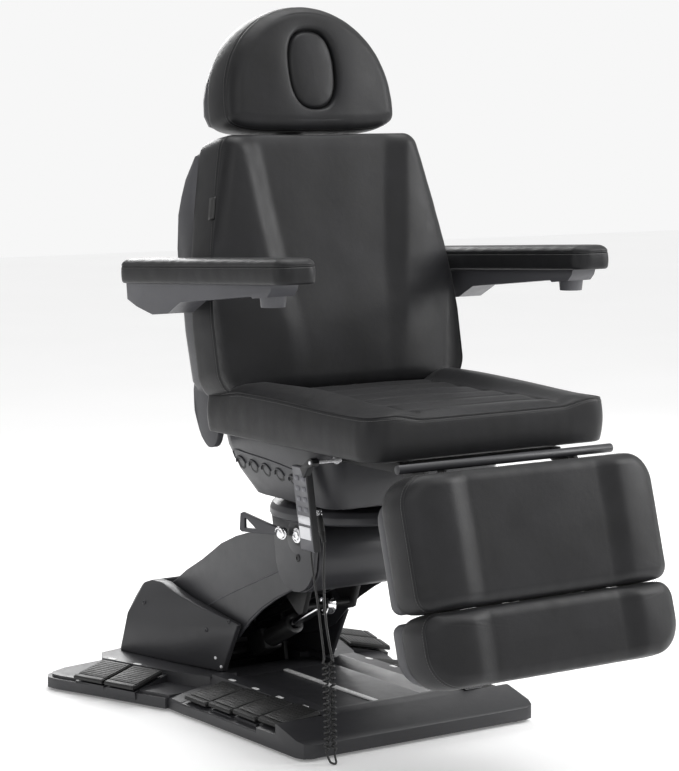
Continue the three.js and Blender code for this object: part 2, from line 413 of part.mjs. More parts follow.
const legPad = cut(M(slab(legPanel(LEG_HALF, -243, 6, [28, 28, 56, 56]), 'y', -110, -10, 22, 3)), M(box(-196, 196, -26, 0, -28, 20)));
add(legG, 'leg_cushion', legPad, leather());

// foot section, on two rails that slide out of the leg frame's channel
const footG = new THREE.Group();
legG.add(footG);
let footRails = union(both(M(box(84, 100, 12, 22, -360, -110))), M(box(-100, 100, 12, 22, -345, -320)));
add(footG, 'foot_rails', footRails, mat(0x9a9da1, 0.3, 0.9));
let footShell = M(slab(rrect(-LEG_HALF + 8, LEG_HALF - 8, -380, -256, [60, 60, 18, 18], 5), 'y', -9.4, 28, 9, 2));
footShell = cut(footShell, M(box(-104, 104, 8, 27, -400, -240)));
add(footG, 'foot_shell', footShell, shellGrey());
add(footG, 'foot_cushion', slab(rrect(-LEG_HALF, LEG_HALF, -386, -249, [84, 84, 34, 34], 5), 'y', -114, -10, 22, 3), leather());
add(footG, 'foot_release_tab', slab(rrect(-18, 18, -396, -384, 4, 2), 'y', -12, 6, 3, 1).translate(-150, 0, 0), plastic());

// ================================================================ backrest
const backG = new THREE.Group();
backG.position.set(0, BACK_PIVOT[0], BACK_PIVOT[1]);
backG.rotation.x = -BACK_LEAN * D2R;    // its own +Z runs up the back, its -Y out of the front face
bed.add(backG);
const backHalf = [[296, 64], [310, 90], [311, 205], [306, 279], [297, 352], [282, 450], [262, 520], [246, 571], [226, 590]];
const backOutline = [...backHalf.map(([x, s]) => [x, s]), [120, 586], [0, 584], [-120, 586], ...backHalf.slice().reverse().map(([x, s]) => [-x, s])];
let backCushion = M(slab(backOutline, 'y', -108, -6, 20, 3));
add(backG, 'back_cushion', backCushion, leather());
// shell: rear pan with side wings that hang past the seat's sides
const panOutline = [[262, 66], [280, 100], [286, 205], [281, 279], [272, 352], [257, 450], [237, 520], [218, 566], [190, 580]];
const pan = [...panOutline, ...panOutline.slice().reverse().map(([x, s]) => [-x, s])];
const backProfile = [[-5.6, 66], [99, 66], [104, 84], [104, 175], [94, 280], [80, 382], [50, 486], [24, 552], [12, 582], [-5.6, 582]];
let backShell = cut(M(slab(pan, 'y', -5.6, 106, 22, 2)).intersect(M(prism(backProfile, 'x', -300, 300))), M(box(-216, 216, -10, 44, 20, 440)));
const wing = [[24, 70], [10, 50], [16, -20], [36, -42], [60, -44], [86, -18], [102, 40], [103, 100], [66, 120], [30, 110]];
backShell = union(backShell, both(M(prism(soften(wing, 16, 2), 'x', 256, 270))));
backShell = cut(backShell, both(M(box(206, 238, -30, 32, 0, 320))));
backShell = cut(backShell, M(box(-38, 38, 10, 40, 430, 640)));
add(backG, 'back_shell', backShell, shellGrey());
// hinge arms inside the shell and the head slide carrier
let backFrame = both(cut(union(M(box(222, 232, -4, 16, 0, 300)), M(bar('x', 0, 0, 222, 232, 20, 24)), M(box(-1, 232, 6, 16, 280, 300))), M(bar('x', 0, 0, 210, 240, 10.5, 20))));
backFrame = union(backFrame, M(box(-8, 8, 6, 16, 290, 300)), M(box(-30, 30, 16, 24, 270, 556)), M(box(-30, 30, 6, 24, 280, 300)),
  both(M(prism([[16, 540], [40, 540], [40, 590], [28, 596], [16, 590]], 'x', 18, 28))), M(bar('x', -HEAD_PIVOT[1], HEAD_PIVOT[0], -34, 34, 6, 16)));
add(backG, 'back_frame', backFrame, steelBlack());

// headrest
const headOut = (w, top, bot, mid) => {
  const pts = [];
  for (let i = 0; i <= 18; i++) { const a = Math.PI * i / 18; pts.push([w * Math.cos(a), mid + (top - mid) * Math.sin(a)]); }
  for (let i = 1; i < 8; i++) { const a = Math.PI + Math.PI * i / 8, c = Math.cos(a), s = Math.sin(a); pts.push([w * Math.sign(c) * Math.pow(Math.abs(c), 0.62), mid + (mid - bot) * -Math.pow(Math.abs(s), 0.62)]); }
  return pts;
};
const oval = (a, b, c, n = 24) => Array.from({ length: n }, (_, i) => [a * Math.cos(2 * Math.PI * i / n), c + b * Math.sin(2 * Math.PI * i / n)]);
const HEAD_C = 732;
let headCushion = cut(M(slab(headOut(209, 868, 602, 650), 'y', -92, 14, 20, 3)), M(prism(oval(63, 90, HEAD_C), 'y', -120, 60)));
add(backG, 'head_cushion', headCushion, leather());
let headShell = cut(M(slab(headOut(192, 850, 612, 655), 'y', 14.4, 58, 22, 3)), M(prism(oval(63, 90, HEAD_C), 'y', -120, 80)), M(box(-44, 44, 0, 80, 560, 640)));
add(backG, 'head_shell', headShell, shellGrey());
let headBracket = union(M(box(-17, 17, 22, 34, 582, 632)), M(bar('x', -HEAD_PIVOT[1], HEAD_PIVOT[0], -17, 17, 11, 20)), M(box(-40, 40, 22, 34, 616, 639)));
headBracket = cut(headBracket, M(bar('x', -HEAD_PIVOT[1], HEAD_PIVOT[0], -20, 20, 6.4, 20)));
add(backG, 'head_bracket', headBracket, steelBlack());
add(backG, 'face_plug', slab(oval(62.4, 89.4, HEAD_C), 'y', -92, 10, 12, 2), leather());

// ================================================================ armrests
const padMid = 970, padLean = 3.1;
function armrest(side) {
  const s = side === 'right' ? -1 : 1;
  const g = new THREE.Group();
  bed.add(g);
  const place = (m) => (s < 0 ? mirrorX(m) : m);
  const pad = M(slab(rrect(ARM_X[0], ARM_X[1], -303, 303, 34, 4), 'z', -24, 24, 12, 3).rotateX(-padLean * D2R).translate(0, -40, padMid));
  add(g, `arm_pad_${side}`, place(pad), leather());
  const zb = (y) => padMid - 24.6 - (y + 40) * Math.tan(padLean * D2R);
  let body = M(prism([[248, zb(248)], [244, 897], [205, 884], [142, 872], [82, 878], [31, 905], [-230, 934], [-236, 930], [-288, 936], [-300, 948], [-304, zb(-304)]], 'x', 338, 390));
  body = union(body, M(bar('x', ARM_PIVOT[0], ARM_PIVOT[1], 321.5, 340, 28, 24)));
  body = union(body, M(bar('z', 364, -262, 914, 936, 21, 16, 23)));
  body = cut(body, M(bar('x', ARM_PIVOT[0], ARM_PIVOT[1], 300, 362, 12.5, 20)));
  add(g, `arm_body_${side}`, place(body), plastic());
}
armrest('right');
armrest('left');
// pivot studs fixed to the sides of the backrest shell
const stud = M(bar('x', ARM_PIVOT[0], ARM_PIVOT[1], 287, 360, 12, 20)).add(M(bar('x', ARM_PIVOT[0], ARM_PIVOT[1], 287, 320.8, 24, 24)));
add(bed, 'arm_stud_left', stud, steelBlack());
add(bed, 'arm_stud_right', mirrorX(stud), steelBlack());

export default bed;
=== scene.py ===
import bpy, bmesh, math, json
import numpy as np
from mathutils import Vector, Matrix


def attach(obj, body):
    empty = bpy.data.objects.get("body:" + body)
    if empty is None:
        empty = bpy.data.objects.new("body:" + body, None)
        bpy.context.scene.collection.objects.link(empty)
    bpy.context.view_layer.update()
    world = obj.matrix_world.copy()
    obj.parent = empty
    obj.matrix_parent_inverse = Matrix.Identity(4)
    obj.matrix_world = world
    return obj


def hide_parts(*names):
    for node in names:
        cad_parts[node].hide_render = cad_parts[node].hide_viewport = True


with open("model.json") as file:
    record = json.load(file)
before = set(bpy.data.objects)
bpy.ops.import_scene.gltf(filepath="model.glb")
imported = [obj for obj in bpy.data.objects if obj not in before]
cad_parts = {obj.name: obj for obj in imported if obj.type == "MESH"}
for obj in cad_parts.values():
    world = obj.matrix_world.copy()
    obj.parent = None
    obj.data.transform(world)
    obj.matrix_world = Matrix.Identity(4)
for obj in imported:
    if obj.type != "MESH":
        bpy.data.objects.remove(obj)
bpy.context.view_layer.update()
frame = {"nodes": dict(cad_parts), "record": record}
NODES = frame["nodes"]
BODY_OF = {n: b for b, ns in frame["record"]["behaviour"]["bodies"].items() for n in ns}
scene = bpy.context.scene
rng = np.random.default_rng(7)


def link(o):
    scene.collection.objects.link(o)
    return o


# ------------------------------------------------------------------ camera
cam = bpy.data.objects.new("camera", bpy.data.cameras.new("camera"))
link(cam)
cam.data.sensor_width = 36
cam.data.lens = 2458.28 * 36 / 771
cam.data.shift_y = 10.04 / 771
cam.data.clip_end = 60
cam.location = (-2.951575, -4.198532, 1.314621)
cam.rotation_euler = (math.radians(90 - 6.9259), 0, math.radians(-34.787))
scene.camera = cam
scene.view_settings.view_transform = "Standard"


# ------------------------------------------------------------------ materials
def new_mat(name):
    m = bpy.data.materials.new(name)
    m.use_nodes = True
    nt = m.node_tree
    return m, nt, nt.nodes["Principled BSDF"]


def coords(nt, stretch=None):
    tc = nt.nodes.new("ShaderNodeTexCoord")
    if stretch is None:
        return tc.outputs["Object"]
    mp = nt.nodes.new("ShaderNodeMapping")
    mp.inputs["Scale"].default_value = stretch
    nt.links.new(tc.outputs["Object"], mp.inputs["Vector"])
    return mp.outputs["Vector"]


def noise(nt, scale, detail=4.0, rough=0.5, distortion=0.0, co=None):
    n = nt.nodes.new("ShaderNodeTexNoise")
    n.inputs["Scale"].default_value = scale
    n.inputs["Detail"].default_value = detail
    n.inputs["Roughness"].default_value = rough
    n.inputs["Distortion"].default_value = distortion
    nt.links.new(co or coords(nt), n.inputs["Vector"])
    return n.outputs["Fac"]


def voronoi(nt, scale, feature="F1", co=None, smooth=0.0):
    n = nt.nodes.new("ShaderNodeTexVoronoi")
    n.feature = feature
    n.inputs["Scale"].default_value = scale
    if feature == "SMOOTH_F1":
        n.inputs["Smoothness"].default_value = smooth
    nt.links.new(co or coords(nt), n.inputs["Vector"])
    return n.outputs["Distance"]


def ramp(nt, fac, stops):
    r = nt.nodes.new("ShaderNodeValToRGB")
    e = r.color_ramp.elements
    e[0].position, e[0].color = stops[0][0], (*stops[0][1], 1)
    e[1].position, e[1].color = stops[-1][0], (*stops[-1][1], 1)
    for p, c in stops[1:-1]:
        x = e.new(p)
        x.color = (*c, 1)
    nt.links.new(fac, r.inputs["Fac"])
    return r.outputs["Color"]


def remap(nt, fac, lo, hi, a=0.25, b=0.75):
    r = nt.nodes.new("ShaderNodeMapRange")
    for k, v in (("From Min", a), ("From Max", b), ("To Min", lo), ("To Max", hi)):
        r.inputs[k].default_value = v
    nt.links.new(fac, r.inputs["Value"])
    return r.outputs["Result"]


def bump(nt, height, distance, strength=1.0, under=None):
    b = nt.nodes.new("ShaderNodeBump")
    b.inputs["Distance"].default_value = distance
    b.inputs["Strength"].default_value = strength
    nt.links.new(height, b.inputs["Height"])
    if under is not None:
        nt.links.new(under, b.inputs["Normal"])
    return b.outputs["Normal"]


def grey(v, tint=0.0):
    return (v * (1 - tint * 0.5), v * (1 - tint * 0.4), v * (1 + tint * 3.2))


def leather(name, tone, rough=0.42, grain=560.0):
    m, nt, b = new_mat(name)
    mott = noise(nt, 9, 5, 0.6)
    nt.links.new(ramp(nt, mott, [(0.32, grey(tone * 0.82, 0.02)), (0.55, grey(tone, 0.03)), (0.72, grey(tone * 1.22, 0.04))]), b.inputs["Base Color"])
    nt.links.new(remap(nt, noise(nt, 22, 5, 0.65), rough - 0.05, rough + 0.08), b.inputs["Roughness"])
    n1 = bump(nt, noise(nt, 14, 3, 0.5), 0.0016, 0.35)
    n2 = bump(nt, noise(nt, 70, 6, 0.6, 0.7), 0.0005, 0.45, n1)
    n3 = bump(nt, voronoi(nt, grain, "DISTANCE_TO_EDGE"), 0.00022, 0.7, n2)
    nt.links.new(n3, b.inputs["Normal"])
    b.inputs["Specular IOR Level"].default_value = 0.26
    b.inputs["Sheen Weight"].default_value = 0.04
    b.inputs["Sheen Roughness"].default_value = 0.45
    return m


def moulded(name, tone, rough=0.45, tint=0.03, grain=900.0, depth=0.00012):
    m, nt, b = new_mat(name)
    nt.links.new(ramp(nt, noise(nt, 5, 4, 0.6), [(0.3, grey(tone * 0.9, tint)), (0.7, grey(tone * 1.12, tint))]), b.inputs["Base Color"])
    nt.links.new(remap(nt, noise(nt, 30, 5, 0.7), rough - 0.05, rough + 0.07), b.inputs["Roughness"])
    n1 = bump(nt, noise(nt, grain, 2, 0.6), depth, 0.5)
    nt.links.new(bump(nt, noise(nt, 6, 2), 0.002, 0.08, n1), b.inputs["Normal"])
    b.inputs["Specular IOR Level"].default_value = 0.45
    return m


def metal(name, tone, rough, metallic=1.0, brushed=0.0, coat=0.0):
    m, nt, b = new_mat(name)
    nt.links.new(ramp(nt, noise(nt, 12, 4), [(0.3, grey(tone * 0.92, 0.005)), (0.7, grey(tone, 0.005))]), b.inputs["Base Color"])
    nt.links.new(remap(nt, noise(nt, 45, 5, 0.7), rough * 0.8, rough * 1.3), b.inputs["Roughness"])
    b.inputs["Metallic"].default_value = metallic
    h = noise(nt, 500, 2, 0.5, 0, coords(nt, (1, 0.04, 1)) if brushed else None)
    nt.links.new(bump(nt, h, 0.00008, 0.35 if brushed else 0.15), b.inputs["Normal"])
    b.inputs["Coat Weight"].default_value = coat
    return m


LEATHER = leather("leather_black", 0.0105, 0.40)
PLASTIC = moulded("plastic_charcoal", 0.034, 0.38)
PLASTIC_BASE = moulded("plastic_base", 0.026, 0.38)
SHELL = moulded("plastic_shell", 0.052, 0.40)
ARM_GREY = moulded("plastic_arm", 0.068, 0.40)
STRIP = moulded("strip_silver", 0.70, 0.28, 0.0, 1500.0, 0.00002)
BRIGHT = metal("steel_bright", 0.92, 0.26, 0.45)
DARK = moulded("plastic_dark", 0.010, 0.5)
TAG = moulded("tag_satin", 0.02, 0.35, 0.0, 1800.0, 0.00006)
STEEL = metal("steel_black", 0.035, 0.42, 0.55)
CHROME = metal("chrome", 0.86, 0.10)
RAIL = metal("rail_steel", 0.55, 0.30, 1.0, 1.0)
RUBBER = moulded("rubber", 0.012, 0.50, 0.0, 700.0, 0.0002)
RUBBER_GLOSS = moulded("cord_rubber", 0.016, 0.30, 0.0, 900.0, 0.00005)
HANDSET = moulded("handset_plastic", 0.085, 0.38)
BUTTON = moulded("button_grey", 0.14, 0.40)
KEY = moulded("key_plastic", 0.72, 0.25, 0.01, 1200.0, 0.00004)
THREAD = moulded("thread", 0.11, 0.6, 0.0, 1500.0, 0.0001)
MARK = moulded("mark_white", 0.80, 0.30, 0.0, 1200.0, 0.00005)


# ------------------------------------------------------------------ mesh tools (millimetres in, metres out)
def put(o, mat, body, smooth=True):
    if mat is not None:
        o.data.materials.clear()
        o.data.materials.append(mat)
    if o.type == "MESH" and smooth:
        o.data.shade_smooth()
    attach(o, body)
    return o


def mesh(name, verts, faces):
    me = bpy.data.meshes.new(name)
    me.from_pydata([tuple(float(c) / 1000 for c in v) for v in verts], [], [tuple(int(i) for i in f) for f in faces])
    me.validate()
    o = bpy.data.objects.new(name, me)
    link(o)
    bm = bmesh.new()
    bm.from_mesh(me)
    bmesh.ops.recalc_face_normals(bm, faces=bm.faces)
    bm.to_mesh(me)
    bm.free()
    return o


def local(y0, z0, deg):
    """x, n (out of the front), s (up) of a piece that leans by deg, to the row frame."""
    c, s = math.cos(math.radians(deg)), math.sin(math.radians(deg))

    def f(p):
        p = np.asarray(p, float)
        x, n, u = p[..., 0], p[..., 1], p[..., 2]
        return np.stack([x, y0 - n * c - u * s, z0 - n * s + u * c], -1)

    return f


LEG = local(-500, 585, -15.76)
BACK = local(90, 640, -11.5)
FLAT = lambda p: np.stack([np.asarray(p)[..., 0], np.asarray(p)[..., 2], np.asarray(p)[..., 1]], -1)  # x, z, y


def round_poly(pts, radii, n=8):
    """Closed outline with arcs in its corners."""
    out, N = [], len(pts)
    pts = [np.array(p, float) for p in pts]
    for i in range(N):
        p, a, b = pts[i], pts[i - 1], pts[(i + 1) % N]
        r = radii[i] if hasattr(radii, "__len__") else radii
        ua, ub = (a - p) / np.linalg.norm(a - p), (b - p) / np.linalg.norm(b - p)
        cosang = float(np.clip(ua @ ub, -1, 1))
        half = math.acos(cosang) / 2
        if r <= 0 or half > math.radians(87):
            out.append(p)
            continue
        t = min(r / math.tan(half), 0.49 * np.linalg.norm(a - p), 0.49 * np.linalg.norm(b - p))
        r = t * math.tan(half)
        c = p + (ua + ub) / np.linalg.norm(ua + ub) * (r / math.sin(half))
        s, e = p + ua * t, p + ub * t
        a0, a1 = math.atan2(*(s - c)[::-1]), math.atan2(*(e - c)[::-1])
        d = (a1 - a0 + math.pi) % (2 * math.pi) - math.pi
        for k in range(n + 1):
            q = a0 + d * k / n
            out.append(c + r * np.array([math.cos(q), math.sin(q)]))
    return np.array(out)


def resample(poly, n):
    p = np.vstack([poly, poly[:1]])
    seg = np.linalg.norm(np.diff(p, axis=0), axis=1)
    t = np.concatenate([[0], np.cumsum(seg)])
    u = np.linspace(0, t[-1], n, endpoint=False)
    return np.stack([np.interp(u, t, p[:, 0]), np.interp(u, t, p[:, 1])], -1)


def inward(poly, smooth=3):
    d = np.roll(poly, -1, 0) - np.roll(poly, 1, 0)
    n = np.stack([-d[:, 1], d[:, 0]], -1)
    area = 0.5 * np.sum(poly[:, 0] * np.roll(poly[:, 1], -1) - np.roll(poly[:, 0], -1) * poly[:, 1])
    if area < 0:
        n = -n
    for _ in range(smooth):
        n = (np.roll(n, 1, 0) + 2 * n + np.roll(n, -1, 0)) / 4
    return n / np.linalg.norm(n, axis=1, keepdims=True)


def edge_dist(q, poly):
    a, b = poly, np.roll(poly, -1, 0)
    ab = b - a
    out = np.full(len(q), 1e9)
    for i in range(len(a)):
        t = np.clip(((q - a[i]) @ ab[i]) / max(ab[i] @ ab[i], 1e-9), 0, 1)
        out = np.minimum(out, np.linalg.norm(q - (a[i] + t[:, None] * ab[i]), axis=1))
    return out


WAVES = [(rng.uniform(0.018, 0.06), rng.uniform(0, 2 * math.pi), rng.uniform(0, 2 * math.pi)) for _ in range(14)]


def ripple(x, s, amp):
    """Slow unevenness of a stuffed surface."""
    z = 0
    for k, a, ph in WAVES:
        z = z + np.sin(k * (math.cos(a) * x + math.sin(a) * s) + ph) * (0.02 / k)
    return amp * z / 3


def smoothstep(a, b, x):
    t = np.clip((x - a) / (b - a), 0, 1)
    return t * t * (3 - 2 * t)


def cushion(name, L, outline, face, back_n, seam_n, mat, N=320, R=24.0, bulge=3.0, groove=2.2, levels=42, insets=None, waist=None):
    """A stuffed panel: back, side panel with a slight belly, sewn seam, then the crowned front face(x, s, d)."""
    P = resample(outline, N)
    nin = inward(P)
    arc = np.concatenate([[0], np.cumsum(np.linalg.norm(np.diff(P, axis=0), axis=1))])
    rings = []
    if callable(seam_n):
        seam_n = seam_n(P[:, 0], P[:, 1])

    def ring(inset, n):
        q = P + nin * np.reshape(inset, (-1, 1))
        rings.append(np.stack([q[:, 0], np.broadcast_to(n, N), q[:, 1]], -1))

    pucker = 0.55 * np.sin(arc / 11.0 + 2 * np.sin(arc / 53.0)) + 0.35 * np.sin(arc / 6.1 + 1.3 * np.sin(arc / 37.0))
    # back, from its middle outwards
    c = P.mean(0)
    for k in (0.25, 0.6, 0.85):
        q = c + (P + nin * 12 - c) * k
        rings.append(np.stack([q[:, 0], np.full(N, back_n), q[:, 1]], -1))
    for inset, up in ((12, 0), (5, 0.2), (2, 1.4), (0.4, 4.2)):
        ring(inset, back_n + up)
    H = seam_n - back_n
    for t in np.linspace(0.1, 0.93, 9):
        w = math.sin(math.pi * t)
        ring(-bulge * w + 0.25 * pucker * w, back_n + 4 + (H - 4) * t)
    ring(0.6, seam_n - 1.8)
    ring(groove, seam_n - 0.5)
    ring(groove + 0.3, seam_n + 0.5)
    # front panel
    if insets is None:
        steps = [2.0, 4.2, 7.0]

    def profile(d):
        return np.sqrt(np.clip(1 - (1 - np.clip(d / R, 0, 1)) ** 2, 0, 1))

    for d in (0.15, 0.5, 1.1, 2, 3.2, 5, 7.5, 10.5, 14, 18, 22.5):
        q = P + nin * (d if d < 22 else 22)
        f = face(q[:, 0], q[:, 1], np.full(N, max(d, 0.01)))
        n = seam_n + 0.8 + (f - seam_n - 0.8) * profile(d) + 0.8 * pucker * math.exp(-d / 12) * (1 - math.exp(-d / 2))
        rings.append(np.stack([q[:, 0], n, q[:, 1]], -1))
    last = P + nin * 22
    d0 = 22.0
    for k in range(1, levels + 1):
        t = 1 - k / (levels + 1)
        q = c + (last - c) * t
        d = edge_dist(q, P)
        f = face(q[:, 0], q[:, 1], d)
        n = seam_n + 0.8 + (f - seam_n - 0.8) * profile(d) + 0.8 * pucker * np.exp(-d / 12)
        rings.append(np.stack([q[:, 0], n, q[:, 1]], -1))
    V = np.concatenate(rings)
    F = []
    idx = np.arange(N)
    nxt = (idx + 1) % N
    for r in range(len(rings) - 1):
        a, b = r * N + idx, r * N + nxt
        F.append(np.stack([a, b, b + N, a + N], -1))
    faces = [tuple(f) for f in np.concatenate(F)]
    cb, cf = len(V), len(V) + 1
    fc = face(np.array([c[0]]), np.array([c[1]]), edge_dist(c[None, :], P))[0]
    V = np.vstack([V, [[c[0], back_n, c[1]], [c[0], fc, c[1]]]])
    faces += [(i, cb, (i + 1) % N) for i in range(N)]
    base = (len(rings) - 1) * N
    faces += [(base + i, base + (i + 1) % N, cf) for i in range(N)]
    o = mesh(name, L(V), faces)
    o.data.shade_smooth()
    o.data.materials.append(mat)
    return o, P, nin


def stitches(name, pts, nrm, body, pitch=5.6, length=3.7, r=0.42, closed=True, mat=None):
    """Short raised thread dashes along a line in the row frame, lying on the surface whose normal is nrm."""
    pts, nrm = np.asarray(pts, float), np.asarray(nrm, float)
    if closed:
        pts, nrm = np.vstack([pts, pts[:1]]), np.vstack([nrm, nrm[:1]])
    seg = np.linalg.norm(np.diff(pts, axis=0), axis=1)
    t = np.concatenate([[0], np.cumsum(seg)])
    u = np.arange(pitch / 2, t[-1], pitch)
    at = lambda v, a: np.stack([np.interp(a, t, v[:, i]) for i in range(3)], -1)
    p, tg, nn = at(pts, u), at(pts, u + 0.5) - at(pts, u - 0.5), at(nrm, u)
    V, F = [], []
    for P0, T, Nn in zip(p, tg, nn):
        T = T / (np.linalg.norm(T) + 1e-9)
        Nn = Nn / (np.linalg.norm(Nn) + 1e-9)
        S = np.cross(T, Nn)
        b = len(V)
        for k, w in ((-0.5, 0.15), (-0.34, 0.9), (0.34, 0.9), (0.5, 0.15)):
            for j in range(6):
                a = math.pi * j / 3
                V.append(P0 + T * length * k + (S * math.cos(a) + Nn * math.sin(a)) * r * w)
        for k in range(3):
            for j in range(6):
                F.append((b + k * 6 + j, b + k * 6 + (j + 1) % 6, b + (k + 1) * 6 + (j + 1) % 6, b + (k + 1) * 6 + j))
        F += [tuple(b + j for j in range(6)), tuple(b + 18 + j for j in range(6))]
    o = mesh(name, V, F)
    put(o, mat or THREAD, body)
    return o


def seam_cord(name, P, nin, L, inset, n, body, sel=None):
    """The dark line where two panels are sewn together."""
    q = seam_points(P, nin, L, inset, n)
    tube_mesh(name, q if sel is None else q[sel], 1.0, body, DARK, closed=sel is None, sides=8)


def tube_mesh(name, pts, r, body, mat, closed=False, sides=10):
    cu = bpy.data.curves.new(name, "CURVE")
    cu.dimensions = "3D"
    sp = cu.splines.new("POLY")
    sp.points.add(len(pts) - 1)
    for q, p in zip(sp.points, pts):
        q.co = (p[0] / 1000, p[1] / 1000, p[2] / 1000, 1)
    sp.use_cyclic_u = closed
    cu.bevel_depth = r / 1000
    cu.bevel_resolution = max(1, sides // 4)
    cu.use_fill_caps = True
    o = link(bpy.data.objects.new(name, cu))
    me = bpy.data.meshes.new_from_object(o.evaluated_get(bpy.context.evaluated_depsgraph_get()))
    bpy.data.objects.remove(o)
    o = link(bpy.data.objects.new(name, me))
    return put(o, mat, body)


def apply_mods(o):
    dg = bpy.context.evaluated_depsgraph_get()
    me = bpy.data.meshes.new_from_object(o.evaluated_get(dg))
    o.modifiers.clear()
    o.data = me
    return o


def refined(node, mat, width=1.2, seg=3, angle=28):
    """The CAD piece with its sharp edges broken, as the moulded or machined piece has them."""
    src = NODES[node]
    me = src.data.copy()
    o = link(bpy.data.objects.new(node + "_piece", me))
    o.matrix_world = src.matrix_world
    bm = bmesh.new()
    bm.from_mesh(me)
    bmesh.ops.remove_doubles(bm, verts=bm.verts, dist=2e-5)
    bmesh.ops.dissolve_limit(bm, angle_limit=math.radians(1.2), verts=bm.verts, edges=bm.edges)
    bm.to_mesh(me)
    bm.free()
    mo = o.modifiers.new("b", "BEVEL")
    mo.width = width / 1000
    mo.segments = seg
    mo.limit_method = "ANGLE"
    mo.angle_limit = math.radians(angle)
    mo.use_clamp_overlap = True
    mo.harden_normals = True
    me.shade_smooth()
    apply_mods(o)
    try:
        o.data.set_sharp_from_angle(angle=math.radians(38))
    except Exception:
        pass
    o.data.materials.clear()
    o.data.materials.append(mat)
    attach(o, BODY_OF[node])
    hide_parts(node)
    return o


# ------------------------------------------------------------------ the handset's lead
def densify(pts, n):
    pts = np.array(pts, float)
    # centripetal Catmull-Rom through the route's points
    P = np.vstack([2 * pts[0] - pts[1], pts, 2 * pts[-1] - pts[-2]])
    out = []
    for i in range(1, len(P) - 2):
        p0, p1, p2, p3 = P[i - 1], P[i], P[i + 1], P[i + 2]
        t0 = 0
        t1 = t0 + np.linalg.norm(p1 - p0) ** 0.5
        t2 = t1 + np.linalg.norm(p2 - p1) ** 0.5
        t3 = t2 + np.linalg.norm(p3 - p2) ** 0.5
        for t in np.linspace(t1, t2, n, endpoint=False):
            A1 = (t1 - t) / (t1 - t0) * p0 + (t - t0) / (t1 - t0) * p1
            A2 = (t2 - t) / (t2 - t1) * p1 + (t - t1) / (t2 - t1) * p2
            A3 = (t3 - t) / (t3 - t2) * p2 + (t - t2) / (t3 - t2) * p3
            B1 = (t2 - t) / (t2 - t0) * A1 + (t - t0) / (t2 - t0) * A2
            B2 = (t3 - t) / (t3 - t1) * A2 + (t - t1) / (t3 - t1) * A3
            out.append((t2 - t) / (t2 - t1) * B1 + (t - t1) / (t2 - t1) * B2)
    out.append(pts[-1])
    return np.array(out)


WIRE = 4.6
LEAD_A = [(-248.2, -208, 417.6), (-248.4, -209, 404), (-249, -215, 380), (-250, -224, 352), (-250.5, -233, 322), (-251, -241, 290), (-252.5, -250, 256), (-254, -259.5, 228), (-255, -266, 209)]
COIL_A = [(-255, -266, 209), (-256.5, -273, 120), (-259, -279, 21.5)]
LOOP = [(-259, -279, 21.5), (-259, -281.5, 13), (-257, -288, 5.5), (-250, -294.5, 2.7), (-243, -288, 5.5), (-241.8, -281.5, 13), (-241.8, -279, 21.5)]
COIL_B = [(-241.8, -279, 21.5), (-240, -273, 120), (-238.5, -266, 209)]
LEAD_B = [(-238.5, -266, 209), (-238, -259, 228), (-236, -247, 256), (-231, -233, 290), (-222, -216, 322), (-210, -197, 352), (-198, -180, 382), (-190, -169.5, 408), (-188.1, -166.4, 421.6)]


def curly(axis_pts, turns, radius, per_turn=16, hand=1):
    ax = densify(axis_pts, 60)
    seg = np.linalg.norm(np.diff(ax, axis=0), axis=1)
    t = np.concatenate([[0], np.cumsum(seg)]) / seg.sum()
    u = np.linspace(0, 1, turns * per_turn + 1)
    c = np.stack([np.interp(u, t, ax[:, i]) for i in range(3)], -1)
    tg = ax[-1] - ax[0]
    tg = tg / np.linalg.norm(tg)
    e1 = np.cross(tg, (0, 1, 0))
    e1 /= np.linalg.norm(e1)
    e2 = np.cross(tg, e1)
    w = np.minimum(1, np.minimum(u, 1 - u) * turns / 0.6)
    w = w * w * (3 - 2 * w)
    a = 2 * math.pi * turns * u * hand
    return c + (e1 * np.cos(a)[:, None] + e2 * np.sin(a)[:, None]) * (radius * w)[:, None]


TURNS = 16
route = np.vstack([densify(LEAD_A, 4)[:-1], curly(COIL_A, TURNS, 4.35), densify(LOOP, 5)[1:-1], curly(COIL_B, TURNS, 4.35, 16, -1), densify(LEAD_B, 4)[1:]])
at = 0
for part in (densify(LEAD_A, 4)[:-1], curly(COIL_A, TURNS, 4.35), densify(LOOP, 5)[1:-1], curly(COIL_B, TURNS, 4.35, 16, -1)):
    at += len(part)
    for _ in range(60):
        lo, hi = max(1, at - 9), min(len(route) - 1, at + 9)
        route[lo:hi] = (route[lo - 1:hi - 1] + 2 * route[lo:hi] + route[lo + 1:hi + 1]) / 4
cu = bpy.data.curves.new("handset_lead", "CURVE")
cu.dimensions = "3D"
sp = cu.splines.new("POLY")
sp.points.add(len(route) - 1)
for q, p in zip(sp.points, route):
    q.co = (p[0] / 1000, p[1] / 1000, p[2] / 1000, 1)
cu.bevel_depth = WIRE / 2000
cu.bevel_resolution = 2
cu.use_fill_caps = True
cord = link(bpy.data.objects.new("handset_lead", cu))
cord.data.materials.append(RUBBER_GLOSS)
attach(cord, "seat")
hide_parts("cord_lead_handset", "cord_coil_a", "cord_loop", "cord_coil_b", "cord_lead_plug")


